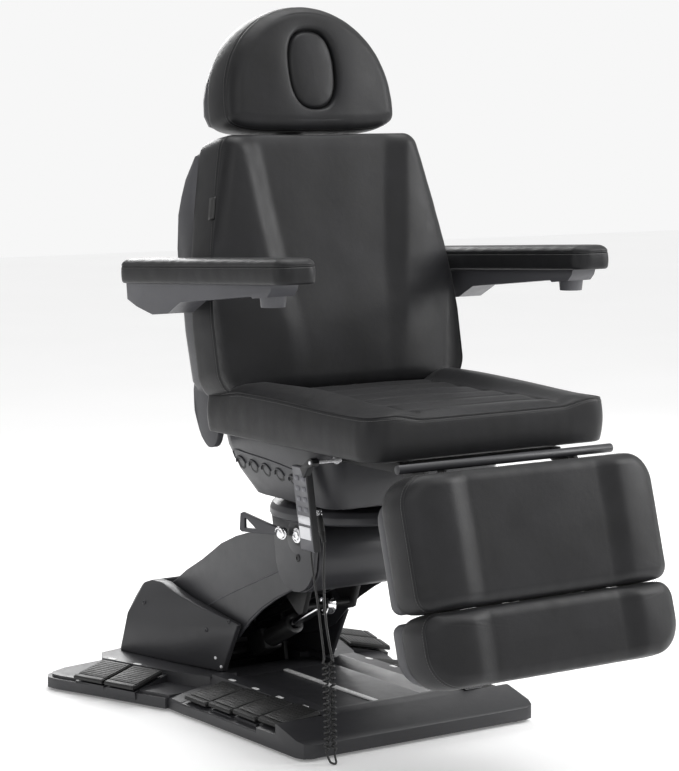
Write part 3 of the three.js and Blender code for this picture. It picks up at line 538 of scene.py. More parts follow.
def lathe(name, prof, start, end, body, mat, seg=32):
    """Turned piece: prof is (distance along, radius) in millimetres from start towards end."""
    a, b = np.array(start, float), np.array(end, float)
    t = (b - a) / np.linalg.norm(b - a)
    e1 = np.cross(t, (0, 0, 1) if abs(t[2]) < 0.9 else (1, 0, 0))
    e1 /= np.linalg.norm(e1)
    e2 = np.cross(t, e1)
    V, F = [], []
    for h, r in prof:
        for k in range(seg):
            q = 2 * math.pi * k / seg
            V.append(a + t * h + (e1 * math.cos(q) + e2 * math.sin(q)) * r)
    for i in range(len(prof) - 1):
        for k in range(seg):
            F.append((i * seg + k, i * seg + (k + 1) % seg, (i + 1) * seg + (k + 1) % seg, (i + 1) * seg + k))
    F += [tuple(range(seg)), tuple((len(prof) - 1) * seg + k for k in range(seg))]
    o = mesh(name, V, F)
    put(o, mat, body)
    try:
        o.data.set_sharp_from_angle(angle=math.radians(40))
    except Exception:
        pass
    return o


PLUG_TOP, PLUG_BOT = (-186, -140, 484.4), (-188, -166, 422)
plug_len = float(np.linalg.norm(np.subtract(PLUG_BOT, PLUG_TOP)))
ribs = []
for i in range(7):
    h = 46 + i * 2.9
    ribs += [(h, 6.6 - i * 0.36), (h + 1.4, 6.6 - i * 0.36), (h + 1.5, 4.6), (h + 2.8, 4.6)]
plug = lathe("lead_plug", [(0, 6.5), (1.2, 7.2), (14, 7.2), (14.4, 6.9), (15, 7.2), (43, 7.0), (45, 6.4)] + [(h, min(r, 6.6)) for h, r in ribs if h < plug_len - 1] + [(plug_len, 3.2)],
             PLUG_TOP, PLUG_BOT, "seat", RUBBER, 28)
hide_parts("cord_plug")
collar = lathe("plug_collar", [(1, 8.0), (1.6, 8.5), (5, 8.5), (5.6, 8.1), (6.4, 8.1), (7, 8.5), (11, 8.5), (11.8, 8.0)], PLUG_TOP, PLUG_BOT, "seat", CHROME, 32)

# ------------------------------------------------------------------ leg rest and foot rest


def bolster(u, xc, width, rise, fall, span):
    """Height of a side bolster: a slope up from its crease, a rounded top, then a long fall to the edge."""
    top = xc + width
    return rise * smoothstep(xc, top, u) - fall * np.clip((u - top) / span, 0, 1.4) ** 1.7


def leg_face(front, xc, crown):
    def f(x, s, d):
        u = np.abs(x)
        sewn = -0.3 * np.exp(-((u - xc) / 3.0) ** 2)
        return front + bolster(u, xc, 50, 9.5, 17, 92) + sewn + crown * (1 - np.exp(-d / 40)) + ripple(x, s, 0.8)
    return f


def seam_points(P, nin, L, inset, n):
    q = P + nin * inset
    pts = np.stack([q[:, 0], np.broadcast_to(n, len(q)), q[:, 1]], -1)
    return L(pts)


def side_normals(P, nin, L):
    q = np.stack([-nin[:, 0], np.zeros(len(P)), -nin[:, 1]], -1)
    o = L(np.zeros(3))
    return L(q) - o


leg_out = round_poly([(-304, -243), (304, -243), (304, 10), (-304, 10)], [30, 30, 60, 60], 10)
leg_cushion, P, nin = cushion("leg_pad", LEG, leg_out, leg_face(97, 158, 3), 10, 83, LEATHER, R=24)
put(leg_cushion, None, "leg_rest")
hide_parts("leg_cushion")
seam_cord("leg_pad_seam", P, nin, LEG, 1.4, 83.2, "leg_rest")
stitches("leg_pad_stitches", seam_points(P, nin, LEG, -1.4, 77), side_normals(P, nin, LEG), "leg_rest")

foot_out = round_poly([(-304, -389), (304, -389), (304, -249), (-304, -249)], [84, 84, 36, 36], 12)
foot_cushion, P, nin = cushion("foot_pad", LEG, foot_out, leg_face(101, 158, 3), 10, 87, LEATHER, R=24)
put(foot_cushion, None, "foot_rest")
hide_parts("foot_cushion")
seam_cord("foot_pad_seam", P, nin, LEG, 1.4, 87.2, "foot_rest")
stitches("foot_pad_stitches", seam_points(P, nin, LEG, -1.4, 81), side_normals(P, nin, LEG), "foot_rest")

# ------------------------------------------------------------------ backrest
back_half = [(296, 56), (313, 92), (314, 205), (308, 279), (297, 352), (277, 450), (261, 520), (243, 592)]
back_poly = back_half + [(118, 592), (0, 590), (-118, 592)] + [(-x, s) for x, s in back_half[::-1]]
rad = [34, 60, 300, 300, 300, 300, 200, 34, 200, 300, 200, 34, 200, 300, 300, 300, 300, 60, 34]
back_out = round_poly(back_poly, rad, 8)


def back_face(x, s, d):
    u = np.abs(x)
    xc = np.interp(s, [60, 200, 342, 454, 556, 600], [84, 104, 124, 140, 155, 160])
    k = np.interp(s, [60, 150, 260, 380, 600], [0.0, 0.30, 0.78, 1.0, 1.0])
    side = bolster(u, xc, 60, 12.5, 0, 1) * k - 15 * np.clip((u - xc - 50) / 105, 0, 1.3) ** 1.7
    lumbar = 12.0 * np.exp(-((s - 172) / 90.0) ** 2) * np.exp(-(x / 220.0) ** 4)
    return 94 + side + lumbar + 2.5 * (1 - np.exp(-d / 40)) + ripple(x, s, 0.9)


back_cushion, P, nin = cushion("back_pad", BACK, back_out, back_face, -6, 82, LEATHER, N=380, R=30, bulge=1.5)
put(back_cushion, None, "backrest")
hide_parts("back_cushion")
seam_cord("back_pad_seam", P, nin, BACK, 1.4, 82.2, "backrest")
stitches("back_pad_stitches", seam_points(P, nin, BACK, -0.6, 76), side_normals(P, nin, BACK), "backrest")

# ------------------------------------------------------------------ headrest


def head_outline(w, top, bot, mid, n=90):
    pts = []
    for i in range(n + 1):
        a = math.pi * i / n
        pts.append((w * math.cos(a) * (1 - 0.0 * math.sin(a)), mid + (top - mid) * math.sin(a) ** 0.92))
    for i in range(1, n // 2):
        a = math.pi + math.pi * i / (n // 2)
        c, s = math.cos(a), math.sin(a)
        pts.append((w * math.copysign(abs(c) ** 0.5, c), mid - (mid - bot) * abs(s) ** 0.5))
    return np.array(pts)


HEAD_MID, HOLE_A, HOLE_B = 731.0, 60.0, 85.0


def rounded_oval(a, b, ang, e=2.5):
    """Point of an opening with fuller shoulders than an ellipse, at a polar angle."""
    c, s = np.cos(ang), np.sin(ang)
    r = (np.abs(c / a) ** e + np.abs(s / b) ** e) ** (-1 / e)
    return np.stack([r * c, HEAD_MID + r * s], -1)




def ring_cushion(name, L, outline, hole, face, back_n, seam_n, R, mat, N=320, levels=34):
    """A padded ring: like a cushion, with an opening whose wall turns in to the back."""
    P = resample(outline, N)
    nin = inward(P)
    c = hole.mean(0)
    ang = np.arctan2(P[:, 1] - c[1], P[:, 0] - c[0])
    Hq = rounded_oval(HOLE_A, HOLE_B, ang)
    hn = -inward(Hq, 1)
    arc = np.concatenate([[0], np.cumsum(np.linalg.norm(np.diff(P, axis=0), axis=1))])
    pucker = 0.5 * np.sin(arc / 10.0 + 2 * np.sin(arc / 51.0)) + 0.3 * np.sin(arc / 5.7)
    rings = []
    add = lambda q, n: rings.append(np.stack([q[:, 0], np.broadcast_to(n, N), q[:, 1]], -1))
    add(Hq, back_n)
    add(Hq + (P - Hq) * 0.5, back_n)
    for inset, up in ((12, 0), (5, 0.2), (2, 1.4), (0.4, 4.2)):
        add(P + nin * inset, back_n + up)
    for t in np.linspace(0.1, 0.93, 9):
        w = math.sin(math.pi * t)
        add(P - nin * (3.0 * w) + nin * (0.25 * pucker * w)[:, None], back_n + 4 + (seam_n - back_n - 4) * t)
    add(P + nin * 0.6, seam_n - 1.8)
    add(P + nin * 2.2, seam_n - 0.5)
    add(P + nin * 2.5, seam_n + 0.5)
    prof = lambda d, r: np.sqrt(np.clip(1 - (1 - np.clip(d / r, 0, 1)) ** 2, 0, 1))
    lo = P + nin * 2.0

    def top(q, dout, din):
        f = face(q[:, 0], q[:, 1], dout)
        n = seam_n + 0.8 + (f - seam_n - 0.8) * prof(dout, R) + 0.7 * pucker * np.exp(-dout / 10)
        return n - 11 * (1 - prof(din + 0.01, 9.0)) - 4.5 * np.exp(-din / 17.0)

    for d in (0.2, 0.6, 1.2, 2.2, 3.6, 5.5, 8, 11, 14.5, 18):
        q = P + nin * d
        add(q, top(q, np.full(N, d), np.full(N, 60.0)))
    last = P + nin * 18
    H0 = Hq + hn * 20
    for k in range(1, levels + 1):
        t = k / levels
        q = last + (H0 - last) * t
        d = edge_dist(q, P)
        din = edge_dist(q, Hq)
        add(q, top(q, d, din))
    for g in (15, 11, 8, 5.5, 3.5, 2, 1, 0.3, 0.0):
        q = Hq + hn * g
        add(q, top(q, edge_dist(q, P), np.full(N, float(g))))
    nlow = rings[-1][:, 1]
    for t in (0.25, 0.6, 0.9):
        add(Hq + hn * 0.4 * (1 - t), nlow + (back_n + 1 - nlow) * t)
    V = np.concatenate(rings)
    idx = np.arange(N)
    nxt = (idx + 1) % N
    faces = []
    for r in range(len(rings)):
        b0, b1 = r * N, ((r + 1) % len(rings)) * N
        faces += [tuple(f) for f in np.stack([b0 + idx, b0 + nxt, b1 + nxt, b1 + idx], -1)]
    o = mesh(name, L(V), faces)
    o.data.shade_smooth()
    o.data.materials.append(mat)
    return o, P, nin


def head_face(x, s, d):
    dome = 1 - np.clip(((x / 236.0) ** 2 + ((s - 722) / 172.0) ** 2), 0, 1.2)
    return 82 + 15 * dome + ripple(x, s, 0.7)


hole = rounded_oval(HOLE_A, HOLE_B, np.arange(96) * 2 * math.pi / 96)
head_cushion, P, nin = ring_cushion("head_pad", BACK, head_outline(211, 869, 604, 652), hole, head_face, -13.5, 62, 30, LEATHER)
put(head_cushion, None, "headrest")
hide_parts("head_cushion")
seam_cord("head_pad_seam", P, nin, BACK, 1.4, 62.2, "headrest")
stitches("head_pad_stitches", seam_points(P, nin, BACK, -1.2, 56.5), side_normals(P, nin, BACK), "headrest")

plug_out = rounded_oval(HOLE_A - 1.3, HOLE_B - 1.3, np.arange(160) * 2 * math.pi / 160)
face_plug, P, nin = cushion("face_plug_pad", BACK, plug_out, lambda x, s, d: 84 + 6.5 * (1 - np.exp(-d / 18)) + ripple(x, s, 0.5), -9, 72, LEATHER, N=200, R=10, bulge=0.3, levels=20)
put(face_plug, None, "face_plug")
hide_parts("face_plug")

# ------------------------------------------------------------------ seat cushion
SEAT = lambda p: FLAT(p)
seat_out = round_poly([(-296, -478), (296, -478), (296, 104), (243, 104), (238, 34), (-238, 34), (-243, 104), (-296, 104)], [46, 46, 10, 8, 8, 8, 8, 10], 10)


def seat_seam(x, y):
    u = np.abs(x)
    return 705 + 11 * smoothstep(168, 246, u) - 3 * smoothstep(262, 300, u) + 6 * smoothstep(-380, -120, y) * smoothstep(200, 260, u) - 12 * smoothstep(-30, 70, y) - 6 * smoothstep(0, 30, y) * (u < 250)


def seat_face(x, y, d):
    u = np.abs(x)
    grow = smoothstep(-470, -150, y)
    xc = 168 + 14 * smoothstep(-200, 60, y)
    b = bolster(u, xc, 52, 9 + 13 * grow, 9, 62)
    mid = 1 - smoothstep(xc - 10, xc + 4, u)
    ch = 0
    for yc in (-392, -306, -220, -134, -48):
        ch = ch + np.exp(-(((y - yc) + 16 * (x / 170.0) ** 2) / 4.2) ** 2)
    groove = 3.0 * np.exp(-((u - xc + 2) / 4.0) ** 2) * smoothstep(-470, -440, y)
    quilt = 2.2 * np.cos((y + 349 + 16 * (x / 170.0) ** 2) * 2 * math.pi / 86) * mid
    return 713 + b - 2.6 * ch * mid + quilt - groove + 3 * (1 - np.exp(-d / 40)) + ripple(x, y, 0.8) - 16 * smoothstep(-20, 60, y) * (1 - smoothstep(240, 262, u)) - 18 * smoothstep(-14, 80, y) * smoothstep(240, 262, u)


seat_cushion, P, nin = cushion("seat_pad", SEAT, seat_out, seat_face, 627, seat_seam, LEATHER, N=400, R=28, bulge=4.5, levels=60)
put(seat_cushion, None, "seat")
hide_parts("seat_cushion")
sel = P[:, 1] < 20
k0 = int(np.argmax(~sel))
order = np.roll(np.arange(len(P)), -k0)
order = order[sel[order]]
seam_cord("seat_pad_seam", P, nin, SEAT, 1.4, seat_seam(P[:, 0], P[:, 1]) + 0.2, "seat", order)
stitches("seat_pad_stitches", seam_points(P, nin, SEAT, -1.6, seat_seam(P[:, 0], P[:, 1]) - 6)[order], side_normals(P, nin, SEAT)[order], "seat", closed=False)

# ------------------------------------------------------------------ armrests
for side, sx in (("right", -1), ("left", 1)):
    ang = math.radians(3.1)

    def ARM(p, sx=sx, ang=ang):
        p = np.asarray(p, float)
        x, n, u = p[..., 0], p[..., 1], p[..., 2]     # across, up, along (towards the back)
        return np.stack([sx * (366.5 + x), -40 + u * math.cos(ang) + n * math.sin(ang), 970 - u * math.sin(ang) + n * math.cos(ang)], -1)

    out = round_poly([(-45.5, -311), (45.5, -311), (45.5, 309), (-45.5, 309)], [30, 30, 24, 24], 12)

    def arm_face(x, s, d):
        return 23.5 + 4.0 * (1 - np.exp(-d / 22)) + ripple(x, s, 0.12)

    pad, P, nin = cushion("arm_pad_" + side + "_padded", ARM, out, arm_face, -24.5, 11, LEATHER, N=340, R=17, bulge=1.2, groove=1.3, levels=16)
    put(pad, None, "arm_" + side)
    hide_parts("arm_pad_" + side)
    seam_cord("arm_seam_" + side, P, nin, ARM, 0.9, 11.2, "arm_" + side)
    stitches("arm_stitches_" + side, seam_points(P, nin, ARM, -0.5, 7.6), side_normals(P, nin, ARM), "arm_" + side, pitch=5.0, length=3.2)

# ------------------------------------------------------------------ hard pieces


def reshape(o, f):
    """Moves a piece's points by f (row frame, millimetres)."""
    me = o.data
    co = np.empty(len(me.vertices) * 3)
    me.vertices.foreach_get("co", co)
    q = f(co.reshape(-1, 3) * 1000) / 1000
    me.vertices.foreach_set("co", q.ravel())
    me.update()


def by_normal(o, mat, test):
    """Gives a second material to the faces that test(normal, centre in millimetres) picks."""
    o.data.materials.append(mat)
    k = len(o.data.materials) - 1
    for q in o.data.polygons:
        if test(q.normal, q.center * 1000):
            q.material_index = k


def unlocal(y0, z0, deg):
    c, s = math.cos(math.radians(deg)), math.sin(math.radians(deg))

    def g(p):
        y, z = p[..., 1] - y0, p[..., 2] - z0
        return np.stack([p[..., 0], -(y * c + z * s), -y * s + z * c], -1)

    return g


UNBACK, UNLEG = unlocal(90, 640, -11.5), unlocal(-500, 585, -15.76)


def back_shell_shape(p):
    q = UNBACK(p)
    x, s = q[:, 0], q[:, 2]
    add = np.interp(s, [40, 100, 200, 280, 352, 450, 520, 571, 600], [0, -6, -8, -4, 8, 24, 32, 36, 36])
    w = smoothstep(90, 250, np.abs(x))
    q[:, 0] = x + np.sign(x) * add * w
    return BACK(q)


def deeper(k, lo):
    def f(p):
        q = UNLEG(p)
        q[:, 1] = np.where(q[:, 1] < lo, lo + (q[:, 1] - lo) * k, q[:, 1])
        return LEG(q)
    return f


def head_shell_shape(p):
    q = UNBACK(p)
    q[:, 0] *= 1.055
    q[:, 2] = 731 + (q[:, 2] - 731) * np.where(q[:, 2] > 731, 1.05, 1.0)
    return BACK(q)


leg_shell = refined("leg_shell", SHELL, 2.0, 3)
foot_shell = refined("foot_shell", SHELL, 2.0, 3)
reshape(foot_shell, deeper(1.25, 5))
back_shell = refined("back_shell", SHELL, 2.0, 3)
reshape(back_shell, back_shell_shape)
head_shell = refined("head_shell", SHELL, 2.0, 3)
reshape(head_shell, head_shell_shape)
for n, m, w, sg, sl in (("base_cover_front", PLASTIC_BASE, 5.0, 4, "plastic"), ("base_cover_rear", PLASTIC_BASE, 8.0, 4, "plastic"), ("tower_cover", PLASTIC_BASE, 3.5, 3, "plastic"),
                        ("lift_arm_cover", PLASTIC, 2.5, 3, "plastic"), ("seat_shroud", PLASTIC, 2.5, 3, "plastic"), ("yoke", PLASTIC, 2.5, 3, "black_steel"),
                        ("foot_release_tab", PLASTIC, 1.0, 2, "plastic"),
                        ("swivel_lock_lever", SHELL, 1.2, 2, "plastic"), ("swivel_lock_bolt", CHROME, 0.8, 2, "chrome"),
                        ("handset_key", KEY, 0.8, 2, "key_plastic"), ("handset_hanger", BRIGHT, 0.6, 2, "chrome"),
                        ("leg_bar", PLASTIC, 1.5, 2, "black_steel"), ("foot_rails", RAIL, 0.8, 2, "rail_steel"), ("arm_stud_left", STEEL, 1.2, 2, "black_steel"), ("arm_stud_right", STEEL, 1.2, 2, "black_steel"),
                        ("base_plate", STEEL, 0.8, 2, "black_steel"), ("tower_bracket", STEEL, 1.0, 2, "black_steel"), ("lift_arm_frame", STEEL, 1.0, 2, "black_steel"),
                        ("levelling_link", STEEL, 0.8, 2, "black_steel"), ("lift_motor", STEEL, 1.2, 2, "black_steel"), ("lift_rod", CHROME, 0.8, 2, "chrome"), ("turntable", STEEL, 1.2, 2, "black_steel"),
                        ("seat_frame", STEEL, 1.0, 2, "black_steel"), ("leg_frame", STEEL, 1.0, 2, "black_steel"), ("back_frame", STEEL, 1.0, 2, "black_steel"), ("head_bracket", STEEL, 1.0, 2, "black_steel")):
    refined(n, m, w, sg)
strip = refined("guide_strip", STRIP, 0.4, 2)
xs = [v.co.x for v in strip.data.vertices]
xm = (min(xs) + max(xs)) / 2
for v in strip.data.vertices:
    v.co.x = xm + (v.co.x - xm) * 0.6
for side, sx in (("right", -1), ("left", 1)):
    o = refined("arm_body_" + side, ARM_GREY, 2.0, 3)
    reshape(o, lambda p, sx=sx: np.stack([sx * (322 + np.clip(np.abs(p[:, 0]) - 322, 0, None) * 1.19), p[:, 1], p[:, 2]], -1))
    for i in range(1, 7):
        refined("pedal_%s_%d" % (side, i), RUBBER, 1.2, 2)
handset = refined("handset_body", HANDSET, 1.4, 3)
by_normal(handset, DARK, lambda n, c: n.y < -0.6 or c.z > 592)

# pedal tops: a raised tread, a lip at the outer end, a groove between them
PEDALS = [((-291 + 2 * k, 172 - 93 * k), (1.0, 0.0), 42 + 3.5 * k, 62 + 2.5 * k) for k in range(4)]
PEDALS += [((-359 - 27.5 * k, 379 + 88.6 * k), (math.cos(math.radians(18)), math.sin(math.radians(18))), 44, 62) for k in range(2)]


def slab_on(name, place, u0, u1, w, lift, thick, body, mat, mirror=False, r=2.0):
    (ox, oy), (dx, dy), zo, zi = place
    sl = math.atan2(zi - zo, 100)
    plan = round_poly([(u0, -w / 2), (u1, -w / 2), (u1, w / 2), (u0, w / 2)], r, 4)
    V, F, N = [], [], len(plan)
    cx, cy = (u0 + u1) / 2, 0
    for h, k in ((0, 0.0), (thick * 0.6, 0.0), (thick * 0.9, 0.45), (thick, 1.1)):
        for a, b in plan:
            l = math.hypot(a - cx, b - cy)
            a2, b2 = a - (a - cx) / l * k, b - (b - cy) / l * k
            z = lift + h
            lx = a2 * math.cos(sl) - z * math.sin(sl)
            V.append((ox + lx * dx - b2 * dy, oy + lx * dy + b2 * dx, zo + a2 * math.sin(sl) + z * math.cos(sl)))
    for q in range(3):
        for i in range(N):
            F.append((q * N + i, q * N + (i + 1) % N, (q + 1) * N + (i + 1) % N, (q + 1) * N + i))
    F += [tuple(range(N)), tuple(3 * N + i for i in range(N))]
    if mirror:
        V = [(-a, b, c) for a, b, c in V]
    o = mesh(name, V, F)
    put(o, mat, body)
    try:
        o.data.set_sharp_from_angle(angle=math.radians(30))
    except Exception:
        pass
    return o


for i, place in enumerate(PEDALS, 1):
    for side, mir in (("right", False), ("left", True)):
        body = "pedal_%s_%d" % (side, i)
        slab_on(body + "_tread", place, 15, 98.5, 79, -0.2, 2.2, body, RUBBER, mir, 3)
        slab_on(body + "_lip", place, 1.2, 12.2, 81, -0.2, 2.2, body, RUBBER, mir, 3)
        for k in range(9):
            slab_on(body + "_rib_%d" % k, place, 22 + k * 8.4, 25 + k * 8.4, 70, 1.9, 0.8, body, RUBBER, mir, 1)
MARKS = [((-181, 195 - 93 * k), (0.0, 1.0), 66.2) for k in range(4)] + [((-262, 462), (math.cos(math.radians(108)), math.sin(math.radians(108))), 61.2), ((-282, 540), (math.cos(math.radians(108)), math.sin(math.radians(108))), 61.2)]
for i, (o2, d2, z) in enumerate(MARKS):
    for side, mir in (("right", False), ("left", True)):
        slab_on("mark_%s_%d" % (side, i + 1), (o2, d2, z, z), -10.5, 10.5, 9.6, -0.6, 1.2, "base", MARK, mir, 3)

# ------------------------------------------------------------------ small fittings
from mathutils.bvhtree import BVHTree


def surface(o):
    bm = bmesh.new()
    bm.from_mesh(o.data)
    t = BVHTree.FromBMesh(bm)
    bm.free()
    return t


def hit_side(tree, y, z, sx=-1):
    loc, nor, _, _ = tree.ray_cast(Vector((sx * 0.6, y / 1000, z / 1000)), Vector((-sx, 0, 0)))
    return (np.array(loc) * 1000, np.array(nor)) if loc is not None else (None, None)


def round_head(name, at, nor, r, h, body, mat, recess=True):
    a = np.array(at) - np.array(nor) * 0.8
    prof = [(0, r), (0.8 + h * 0.55, r), (0.8 + h * 0.85, r * 0.86), (0.8 + h, r * 0.6)]
    if recess:
        prof += [(0.8 + h, r * 0.42), (0.8 + h * 0.35, r * 0.40)]
    return lathe(name, prof, a, a + np.array(nor) * 10, body, mat, 24)


shroud_t = surface(bpy.data.objects["seat_shroud_piece"])
tower_t = surface(bpy.data.objects["tower_cover_piece"])
for sx, side in ((-1, "right"), (1, "left")):
    rim = []
    for i, (y, z) in enumerate(((75, 559), (29, 556), (-17, 554), (-65, 550), (-113, 543))):
        loc, nor = hit_side(shroud_t, y, z, sx)
        if loc is None:
            continue
        t = np.cross(nor, (0, 0, 1)); t /= np.linalg.norm(t)
        up = np.cross(t, nor)
        if up[2] < 0:
            up = -up
        lathe("socket_%s_%d" % (side, i), [(0, 14), (0.9, 14), (1.2, 13.2), (1.2, 10), (0.4, 9.2)], loc - nor * 0.6, loc + nor * 9, "seat", DARK, 28)
        arc = [loc + nor * 1.0 + t * 15 * math.cos(a) * 1.1 + up * 15 * math.sin(a) for a in np.linspace(0.05, math.pi - 0.05, 18)]
        tube_mesh("socket_hood_%s_%d" % (side, i), arc, 2.0, "seat", PLASTIC)
    for i, (y, z) in enumerate(((102, 566), (98, 582), (80, 587), (40, 584), (-10, 581), (-60, 577), (-110, 571), (-140, 566), (-150, 556))):
        loc, nor = hit_side(shroud_t, y, z, sx)
        if loc is not None:
            rim.append(loc + nor * 0.4)
    tube_mesh("socket_rim_" + side, densify(rim, 6), 1.6, "seat", PLASTIC)
    for i, (y, z) in enumerate(((256, 180), (330, 150), (286, 74), (300, 92), (560, 175))):
        loc, nor = hit_side(tower_t, y, z, sx)
        if loc is not None:
            round_head("tower_rivet_%s_%d" % (side, i), loc, nor, 5.0 if i < 2 or i == 4 else 3.6, 2.2, "base", BRIGHT if i in (2, 3) else PLASTIC)
    # hood panel below its crease line, given a darker tone that is painted shade of the facet below the fold
    panel = [(392, 184), (330, 214), (250, 249), (160, 286), (73, 321), (46, 313), (8, 300), (30, 288), (100, 257), (155, 226), (205, 190), (250, 150), (300, 126), (352, 130)]
    N = len(panel)
    x0, x1 = sx * 129.6, sx * 131.4
    V = [(x0, y, z) for y, z in panel] + [(x1, y, z) for y, z in panel]
    F = [tuple(range(N)), tuple(N + i for i in range(N))] + [(i, (i + 1) % N, N + (i + 1) % N, N + i) for i in range(N)]
    o = mesh("hood_panel_painted_shade_" + side, V, F)
    mo = o.modifiers.new("b", "BEVEL"); mo.width = 0.0008; mo.segments = 2
    apply_mods(o)
    # the panel's darker PLASTIC_BASE tone is painted shade: it stands in for the facet below the crease lying in shade
    put(o, PLASTIC_BASE, "lift_arm", smooth=False)

for sx, side in ((-1, "right"), (1, "left")):
    # the lighter ARM_GREY tube along the crease is a painted highlight, so the fold shows as a bright line
    tube_mesh("hood_crease_painted_highlight_" + side, densify([(sx * 131.2, y, z) for y, z in ((400, 180), (330, 214), (250, 249), (160, 286), (80, 318), (66, 320), (46, 313), (4, 299))], 5), 1.3, "lift_arm", ARM_GREY)

# swivel lock's bearing bolt on the yoke cheek, screws
lathe("lock_plate", [(0, 36), (0.3, 36), (0.5, 35.5)], (-142.6, 2, 404), (-160, 2, 404), "yoke", PLASTIC, 48)
lathe("lock_washer", [(0, 21), (2.6, 21), (3.4, 19.5), (3.6, 17), (2.4, 16.4)], (-142.4, -4, 408), (-160, -4, 408), "yoke", STEEL, 36)
lathe("lock_ring", [(0, 16), (4.4, 16), (5.2, 14.6), (5.2, 12.6), (3.6, 12.2)], (-142.6, -4, 408), (-160, -4, 408), "yoke", CHROME, 36)
lathe("lock_nut", [(0, 10.4), (6.4, 10.4), (7.4, 9.2), (7.4, 5.4), (6.0, 5.2)], (-142.6, -4, 408), (-160, -4, 408), "yoke", CHROME, 6)
for i, (y, z, r) in enumerate(((-4, 360, 8.0),)):
    for sx, side in ((-1, "right"), (1, "left")):
        round_head("yoke_screw_%s_%d" % (side, i), (sx * 143, y, z), (sx, 0, 0), r, 2.6, "yoke", STEEL)
# lever's cam hook beside the bolt
hook = [(-173, 33, 414), (-176, 26, 421), (-176, 14, 424), (-174, 6, 417), (-172, 6, 408)]
tube_mesh("lock_hook", densify(hook, 6), 3.0, "swivel_lock", CHROME)

# handset's keypad and screen on its outer face
hx = lambda z: -279 + (590 - z) * 22 / 170 - 0.2
for i, (z0, z1, m) in enumerate(((498, 508, BUTTON), (519, 529, BUTTON), (540, 550, BUTTON), (561, 571, BUTTON))):
    for k, (ya, yb) in enumerate(((-226, -213), (-204, -191))):
        pl = round_poly([(ya, z0), (yb, z0), (yb, z1), (ya, z1)], 3, 4)
        N = len(pl)
        V = [(hx(z) + 0.6, y, z) for y, z in pl] + [(hx(z) - 0.5, y, z) for y, z in pl] + [(hx(z) - 0.9, y * 0.94 + (ya + yb) / 2 * 0.06, z * 0.94 + (z0 + z1) / 2 * 0.06) for y, z in pl]
        F = [tuple(range(N)), tuple(2 * N + i2 for i2 in range(N))] + [(q * N + i2, q * N + (i2 + 1) % N, (q + 1) * N + (i2 + 1) % N, (q + 1) * N + i2) for q in (0, 1) for i2 in range(N)]
        put(mesh("handset_button_%d_%d" % (i, k), V, F), m, "seat")
pl = round_poly([(-229, 473), (-188, 473), (-188, 490), (-229, 490)], 3, 4)
N = len(pl)
V = [(hx(z) + 0.6, y, z) for y, z in pl] + [(hx(z) - 0.4, y, z) for y, z in pl]
F = [tuple(range(N)), tuple(N + i2 for i2 in range(N))] + [(i2, (i2 + 1) % N, N + (i2 + 1) % N, N + i2) for i2 in range(N)]
put(mesh("handset_window", V, F), KEY, "seat")

# blank woven tag in the backrest's side seam
tag_s = np.linspace(418, 464, 8)
rows = []
for k in range(8):
    half = float(np.interp(tag_s[k], [352, 450, 520], [297, 277, 261]))
    rows.append([(-(half + 0.6), 84.0), (-(half + 3.0), 80.0), (-(half + 4.2), 74.0), (-(half + 4.6), 66.0)])
V = []
for off in (0.0, 0.7):
    for k in range(8):
        V += [tuple(BACK((x - off, n, tag_s[k]))) for x, n in rows[k]]
F = []
for lay in (0, 1):
    for k in range(7):
        for c in range(3):
            a = lay * 32 + k * 4 + c
            F.append((a, a + 1, a + 5, a + 4))
for k in range(7):
    F += [(k * 4, k * 4 + 4, 36 + k * 4, 32 + k * 4), (k * 4 + 3, k * 4 + 7, 39 + k * 4, 35 + k * 4)]
F += [(c, c + 1, 33 + c, 32 + c) for c in range(3)] + [(28 + c, 29 + c, 61 + c, 60 + c) for c in range(3)]
put(mesh("blank_tag", V, F), TAG, "backrest")

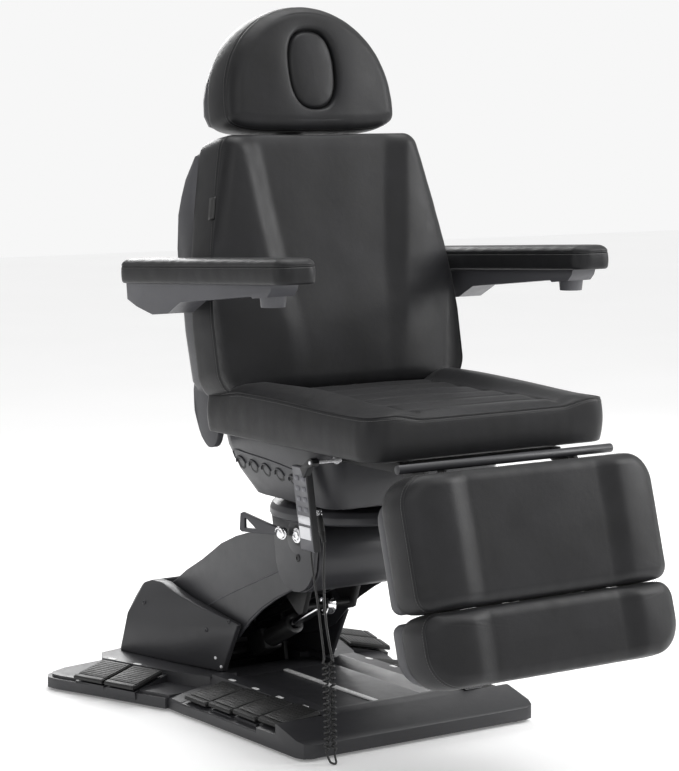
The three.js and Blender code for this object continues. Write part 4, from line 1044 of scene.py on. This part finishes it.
# ------------------------------------------------------------------ floor and light
me = bpy.data.meshes.new("floor")
bm = bmesh.new()
bmesh.ops.create_grid(bm, x_segments=8, y_segments=8, size=14)
bm.to_mesh(me)
bm.free()
floor = link(bpy.data.objects.new("floor", me))
floor.location = (0, 0, -0.0005)
fm, nt, b = new_mat("floor_pale")
nt.links.new(ramp(nt, noise(nt, 1.5, 3), [(0.3, (0.90, 0.90, 0.90)), (0.7, (0.92, 0.92, 0.92))]), b.inputs["Base Color"])
b.inputs["Roughness"].default_value = 0.8
b.inputs["Specular IOR Level"].default_value = 0.1
b.inputs["Emission Color"].default_value = (1, 1, 1, 1)
b.inputs["Emission Strength"].default_value = 0.17
floor.data.materials.append(fm)


def area(name, loc, target, size, power, size_y=None):
    li = bpy.data.lights.new(name, "AREA")
    li.energy = power
    li.size = size
    if size_y:
        li.shape = "RECTANGLE"
        li.size_y = size_y
    o = link(bpy.data.objects.new(name, li))
    o.location = loc
    o.rotation_euler = (Vector(target) - Vector(loc)).to_track_quat("-Z", "Y").to_euler()
    return o


area("key", (3.4, -1.9, 2.3), (0, -0.1, 0.8), 1.6, 78, 2.4)
area("front", (-1.2, -4.4, 3.0), (0, -0.1, 0.6), 2.4, 30, 2.0)
area("left", (-3.6, 0.2, 1.7), (0, 0.1, 0.7), 1.2, 15, 2.2)
area("top", (0.4, 0.4, 4.0), (0, 0, 0.7), 2.4, 60, 2.4)
area("rim", (1.2, 3.6, 2.2), (0, 0.2, 0.9), 1.6, 60, 1.6)
sun = bpy.data.lights.new("sun", "SUN")
sun.energy = 0.85
sun.angle = math.radians(50)
so = link(bpy.data.objects.new("sun", sun))
so.rotation_euler = Vector((-0.45, 0.35, -1.0)).to_track_quat("-Z", "Y").to_euler()

world = bpy.data.worlds.new("world")
scene.world = world
world.use_nodes = True
wn = world.node_tree
soft = wn.nodes["Background"]
soft.inputs["Color"].default_value = (1, 1, 1, 1)
soft.inputs["Strength"].default_value = 0.56
seen = wn.nodes.new("ShaderNodeBackground")
seen.inputs["Color"].default_value = (1, 1, 1, 1)
seen.inputs["Strength"].default_value = 0.93
path = wn.nodes.new("ShaderNodeLightPath")
mixer = wn.nodes.new("ShaderNodeMixShader")
wn.links.new(path.outputs["Is Camera Ray"], mixer.inputs["Fac"])
wn.links.new(soft.outputs["Background"], mixer.inputs[1])
wn.links.new(seen.outputs["Background"], mixer.inputs[2])
wn.links.new(mixer.outputs["Shader"], wn.nodes["World Output"].inputs["Surface"])
